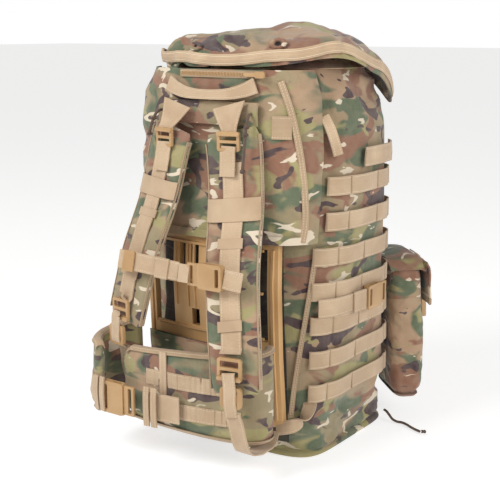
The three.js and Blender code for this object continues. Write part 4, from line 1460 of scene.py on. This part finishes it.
# %% [markdown]
# ## Side straps
# A compression strap with a side-release buckle crosses each side low down. A folded strap lies flat on the
# bag's side higher up.

# %% Side straps
COMPRESSION = {"z": 218, "y": 16, "length": 38}
for side, sign in SIDES.items():
    for part, bevel, body in (("socket", 0.9, "root"), ("plug", 0.5, f"compression_plug_{side}")):
        node = f"compression_{part}_{side}"
        refined_copy(f"compression_{part}_body_{side}", node, bevel, HARDWARE, body, "hardware")
    half_x, _, _, middle_x, _ = read_table(BAG_PLAN, COMPRESSION["z"])
    tail = COMPRESSION["y"] - COMPRESSION["length"] - 1

    def level_route(corners):
        return [(middle_x + sign * x, y, COMPRESSION["z"]) for x, y in corners]

    route = level_route([(half_x + 9, tail), (half_x + 6, tail - 30), (half_x + 1, -88), (half_x - 12, -112)])
    web = strap(f"compression_cloth_{side}", route, UPRIGHT, WEB_WIDTH, WEBBING, 2.0, 50, 1.0)
    place_piece(web, "root", "webbing", f"compression_web_{side}")
    cuff_route = level_route([(half_x + 12, tail - 2), (half_x + 10, tail - 18), (half_x + 9, tail - 30)])
    cuff = strap(f"compression_cuff_{side}", cuff_route, UPRIGHT, 29, WEBBING, 2.4, 20)
    place_piece(cuff, "root", "webbing")
    start, end = (-6, 38) if sign > 0 else (186, 142)
    folded = grid_piece(
        f"upper_strap_cloth_{side}", spread(start, end, 40), [-1, -0.8, -0.3, 0.3, 0.8, 1],
        lambda d, v: bag_point(d, 417.5 + 13 * v, 6.4 + crease((d * 3, 0, v * 20), 22, 1.2)), WEBBING, 2.2,
        band_uv(13, arc(BAG_RADIUS)),
    )
    place_piece(folded, "root", "webbing", f"upper_strap_{side}")
print("side straps made")

# %% [markdown]
# ## Sewn details of the back
# A tape curves down the sleeve's right side, with a wide patch of webbing beside it. Two seams run down the
# bag's corners beside the frame, and narrow ribs stiffen the frame's plate.

# %% Sleeve tape, patch and seams
TAPE_STATIONS = [(-58, 520), (-52, 480), (-45, 430), (-39, 380), (-36, 340), (-37, 312)]  # degrees, height
tape_route = [sleeve_point(degrees, z, 1.6) for degrees, z in TAPE_STATIONS]
patch_route = [sleeve_point(degrees, 461, 1.4) for degrees in (-67, -62, -57, -52)]
side_tapes = [
    strap("edge_tape", tape_route, (0.92, 0.36, 0.12), 9, BINDING, 1.6, 70, 0.5),
    strap("patch", patch_route, (0, 0.1, 1), 30, WEBBING, 1.6, 30, 0.4),
]
place_piece(joined("sleeve_tapes", side_tapes), "root", "webbing")

SEAM_HEIGHTS = (300, 250, 200, 150, 100, 62)
seams = []
for name, turns, across in (
    ("seam_upper", (-40, -43, -47, -52, -57, -60), (0.9, 0.45, 0.25)),
    ("seam_left", (-140, -137, -133, -128, -123, -120), (0.9, -0.45, -0.25)),
):
    route = [bag_point(degrees, z, 0.8) for degrees, z in zip(turns, SEAM_HEIGHTS)]
    seams.append(strap(name, route, across, 7, BINDING, 1.4, 80, 0.4))
place_piece(joined("bag_seams", seams), "root", "webbing")
print("bindings made")

# %% Ribs of the frame
def frame_spot(x, z):
    return Vector((x, lumbar_face(x, z) - 1.2, z))


ribs = []
for x in (-52, -30, -18, 18, 30, 52):
    route = [frame_spot(x, z) for z in spread(206, 298, 6)]
    ribs.append(strap(f"rib_{x}", route, (1, 0, 0), 3.4, POLYMER, 3.0, 24))
for z in (176, 240, 298):
    route = [frame_spot(x, z) for x in spread(-92, 92, 8)]
    ribs.append(strap(f"rib_row_{z}", route, UPRIGHT, 3.4, POLYMER, 3.0, 40))
for x in (-104.5, 104.5):
    route = [frame_spot(x, z) for z in spread(60, 300, 10)]
    ribs.append(strap(f"rib_side_{x}", route, (1, 0, 0), 4.0, POLYMER, 3.4, 60))
place_piece(joined("frame_ribs", ribs), "root", "plastic")
print("frame ribs made")

# %% [markdown]
# ## Painted shade behind the frame, cord mouths and small webs
# A dark copy of the printed cloth covers the bag behind the frame as painted shade, so the slats stand out against it.
# The lid's hem has two eyelets whose mouths are painted shade. A short web is sewn to the base by the frame's foot,
# and a rolled strap hangs at the side.

# %% Painted shade behind the frame
# Painted shade: a dark copy of the print on the bag, where shade falls between the frame and the bag.
back_painted_shade = grid_piece(
    "back_painted_shade", spread(-117, -63, 50), spread(24, 306, 40),
    lambda d, z: bag_point(d, z, 0.4 + crease(bag_point(d, z, 0), 26, 0.8)), PAINTED_SHADE_CLOTH, 1.0,
)
place_piece(back_painted_shade, "root", "cloth")

# %% Eyelets of the lid's drawcord
def eyelet(name, x, y, z, size):
    """A gathered ring of cloth round a mouth of painted shade, facing the wearer and a little upwards."""
    middle = Vector((x, y, z))
    facing = Vector((0.1, -0.9, 0.42)).normalized()
    wide = facing.cross(Vector(UPRIGHT)).normalized()
    thread = 2.6  # radius of the gathered ring
    tall = wide.cross(facing).normalized()

    def ring(turn, around):
        spoke = wide * math.cos(math.radians(turn)) * 1.5 + tall * math.sin(math.radians(turn))
        bead = math.radians(around)
        pucker = 1 + 0.05 * math.sin(math.radians(turn) * 9)
        return middle + spoke * (size + thread * math.cos(bead)) * pucker + facing * (thread * math.sin(bead))

    rim = grid_piece(f"{name}_rim", spread(0, 360, 60)[:-1], spread(0, 360, 12), ring, CLOTH, closed=True)
    # The mouth is painted shade: a dark copy of the print inside the ring.
    mouth = grid_piece(
        f"{name}_mouth", spread(0, 360, 40)[:-1], spread(0.02, 1, 6),
        lambda turn, r: ring(turn, 180) * r + middle * (1 - r) - facing * (3.0 * (1 - r * r)),
        PAINTED_SHADE_CLOTH, 0.8, closed=True,
    )
    place_piece(rim, "lid", "cloth")
    place_piece(mouth, "lid", "cloth")


eyelet("eyelet_left", -34, -135, 563, 4.2)
eyelet("eyelet_right", 92, -124, 567, 6.0)
print("eyelets made")

# %% Web at the base and rolled strap
base_route = [(136, -104, 96), (139, -112, 76), (134, -124, 60), (122, -136, 52), (104, -141, 47)]
loop_web = strap("base_loop", base_route, (0.5, 0.5, 0.7), 19, WEBBING, 2.0, 50, 1.2)
place_piece(loop_web, "root", "webbing")
rolled_route = [bag_point(*spot) for spot in ((-37, 474, 3), (-34, 458, 7), (-31, 440, 8), (-28, 424, 6))]
rolled = strap("rolled_strap", rolled_route, (0.7, 0.7, 0.2), 13, WEBBING, 5.5, 40, 1.0)
place_piece(rolled, "root", "webbing")
print("loops made")

# %% [markdown]
# ## Cords
# Three cords hang free. One drawcord comes out of the base and ends in a knot on the ground. A short pull cord
# with small knots hangs beside the top of each pad.

# %% Cords
CORD_STEPS = 60


def cord_tube(name, points, diameter, count=CORD_STEPS, sides=10):
    """Round cord along a smooth path in millimetres, with its path and length in metres."""
    places, length = smooth_path(points, count)
    rings = []
    for place, _, wide, outward in frames_along(places, (0.31, 0.2, 0.93)):
        turns = [2 * math.pi * k / sides for k in range(sides)]
        rings.append([place + (wide * math.cos(t) + outward * math.sin(t)) * diameter / 2 for t in turns])
    return loft_piece(name, rings, CORD), [tuple(p * MM) for p in places], length * MM


def knot(name, place, size, body):
    """A small overhand knot: three turns of cord round each other."""
    middle = Vector(place)

    def trefoil(t):
        return Vector((math.sin(t) + 2 * math.sin(2 * t), math.cos(t) - 2 * math.cos(2 * t), -math.sin(3 * t)))

    route = [middle + trefoil(t) * size / 4.6 for t in spread(0, 2 * math.pi, 60)]
    tube, _, _ = cord_tube(name, route, size * 0.62, 90, 8)
    return place_piece(tube, body, "cord")


CORD_DIAMETER = 4
DRAWCORD = [
    (152, 86, 15), (157, 84, 14), (163, 82, 10), (169, 81, 5), (176, 82, 2.3), (184, 83, 2.2),
    (193, 80, 2.2), (203, 74, 2.2), (213, 69, 2.2), (222, 66, 2.2),
]
drawcord, drawcord_path, drawcord_length = cord_tube("drawcord", DRAWCORD, CORD_DIAMETER)
place_piece(drawcord, "root", "cord", "base_drawcord")
ground_knot = knot("drawcord_knot", (229, 63.5, 4.4), 4.4, "root")
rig.replaces(ground_knot, "base_drawcord_knot")
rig.cord(
    drawcord, drawcord_path[0], drawcord_length, CORD_DIAMETER * MM, "knot", "limp", "loose",
    path=drawcord_path, with_pieces=(ground_knot,),
)
print("drawcord length in m:", round(drawcord_length, 3))

# %% Pull cords
PULL_CORD = {
    "right": [
        (74, -159, 478), (75, -165, 477), (77, -171, 472), (79, -178, 458), (80, -183, 436), (81, -189, 404),
    ],
    "left": [(74, -159, 478), (75, -165, 477), (77, -171, 472), (79, -178, 458), (80, -182, 444)],
}
KNOT_SHARES = {"right": (0.3, 0.42, 0.97), "left": (0.45, 0.95)}
for side, sign in SIDES.items():
    route = mirrored(sign, PULL_CORD[side])
    tube, tube_path, tube_length = cord_tube(f"pull_cord_braid_{side}", route, CORD_DIAMETER)
    place_piece(tube, "harness", "cord", f"pull_cord_{side}")
    knots = []
    for k, share in enumerate(KNOT_SHARES[side]):
        spot = Vector(tube_path[int(share * CORD_STEPS)]) / MM
        knots.append(knot(f"pull_knot_{side}_{k}", spot, 4.6, "harness"))
    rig.cord(
        tube, tube_path[0], tube_length, CORD_DIAMETER * MM, "knot", "limp", "hanging",
        path=tube_path, with_pieces=tuple(knots),
    )
    print("pull cord", side, "length in m:", round(tube_length, 3))

# %% [markdown]
# ## Sizes and finish
# The box of the finished model is written beside the box of the working shapes, so that the two can be
# compared.

# %% Finish
with open("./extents.json", "w") as sizes:
    json.dump({"cad": [list(c) for c in cad_box], "visual": [list(c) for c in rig.bounds()]}, sizes)
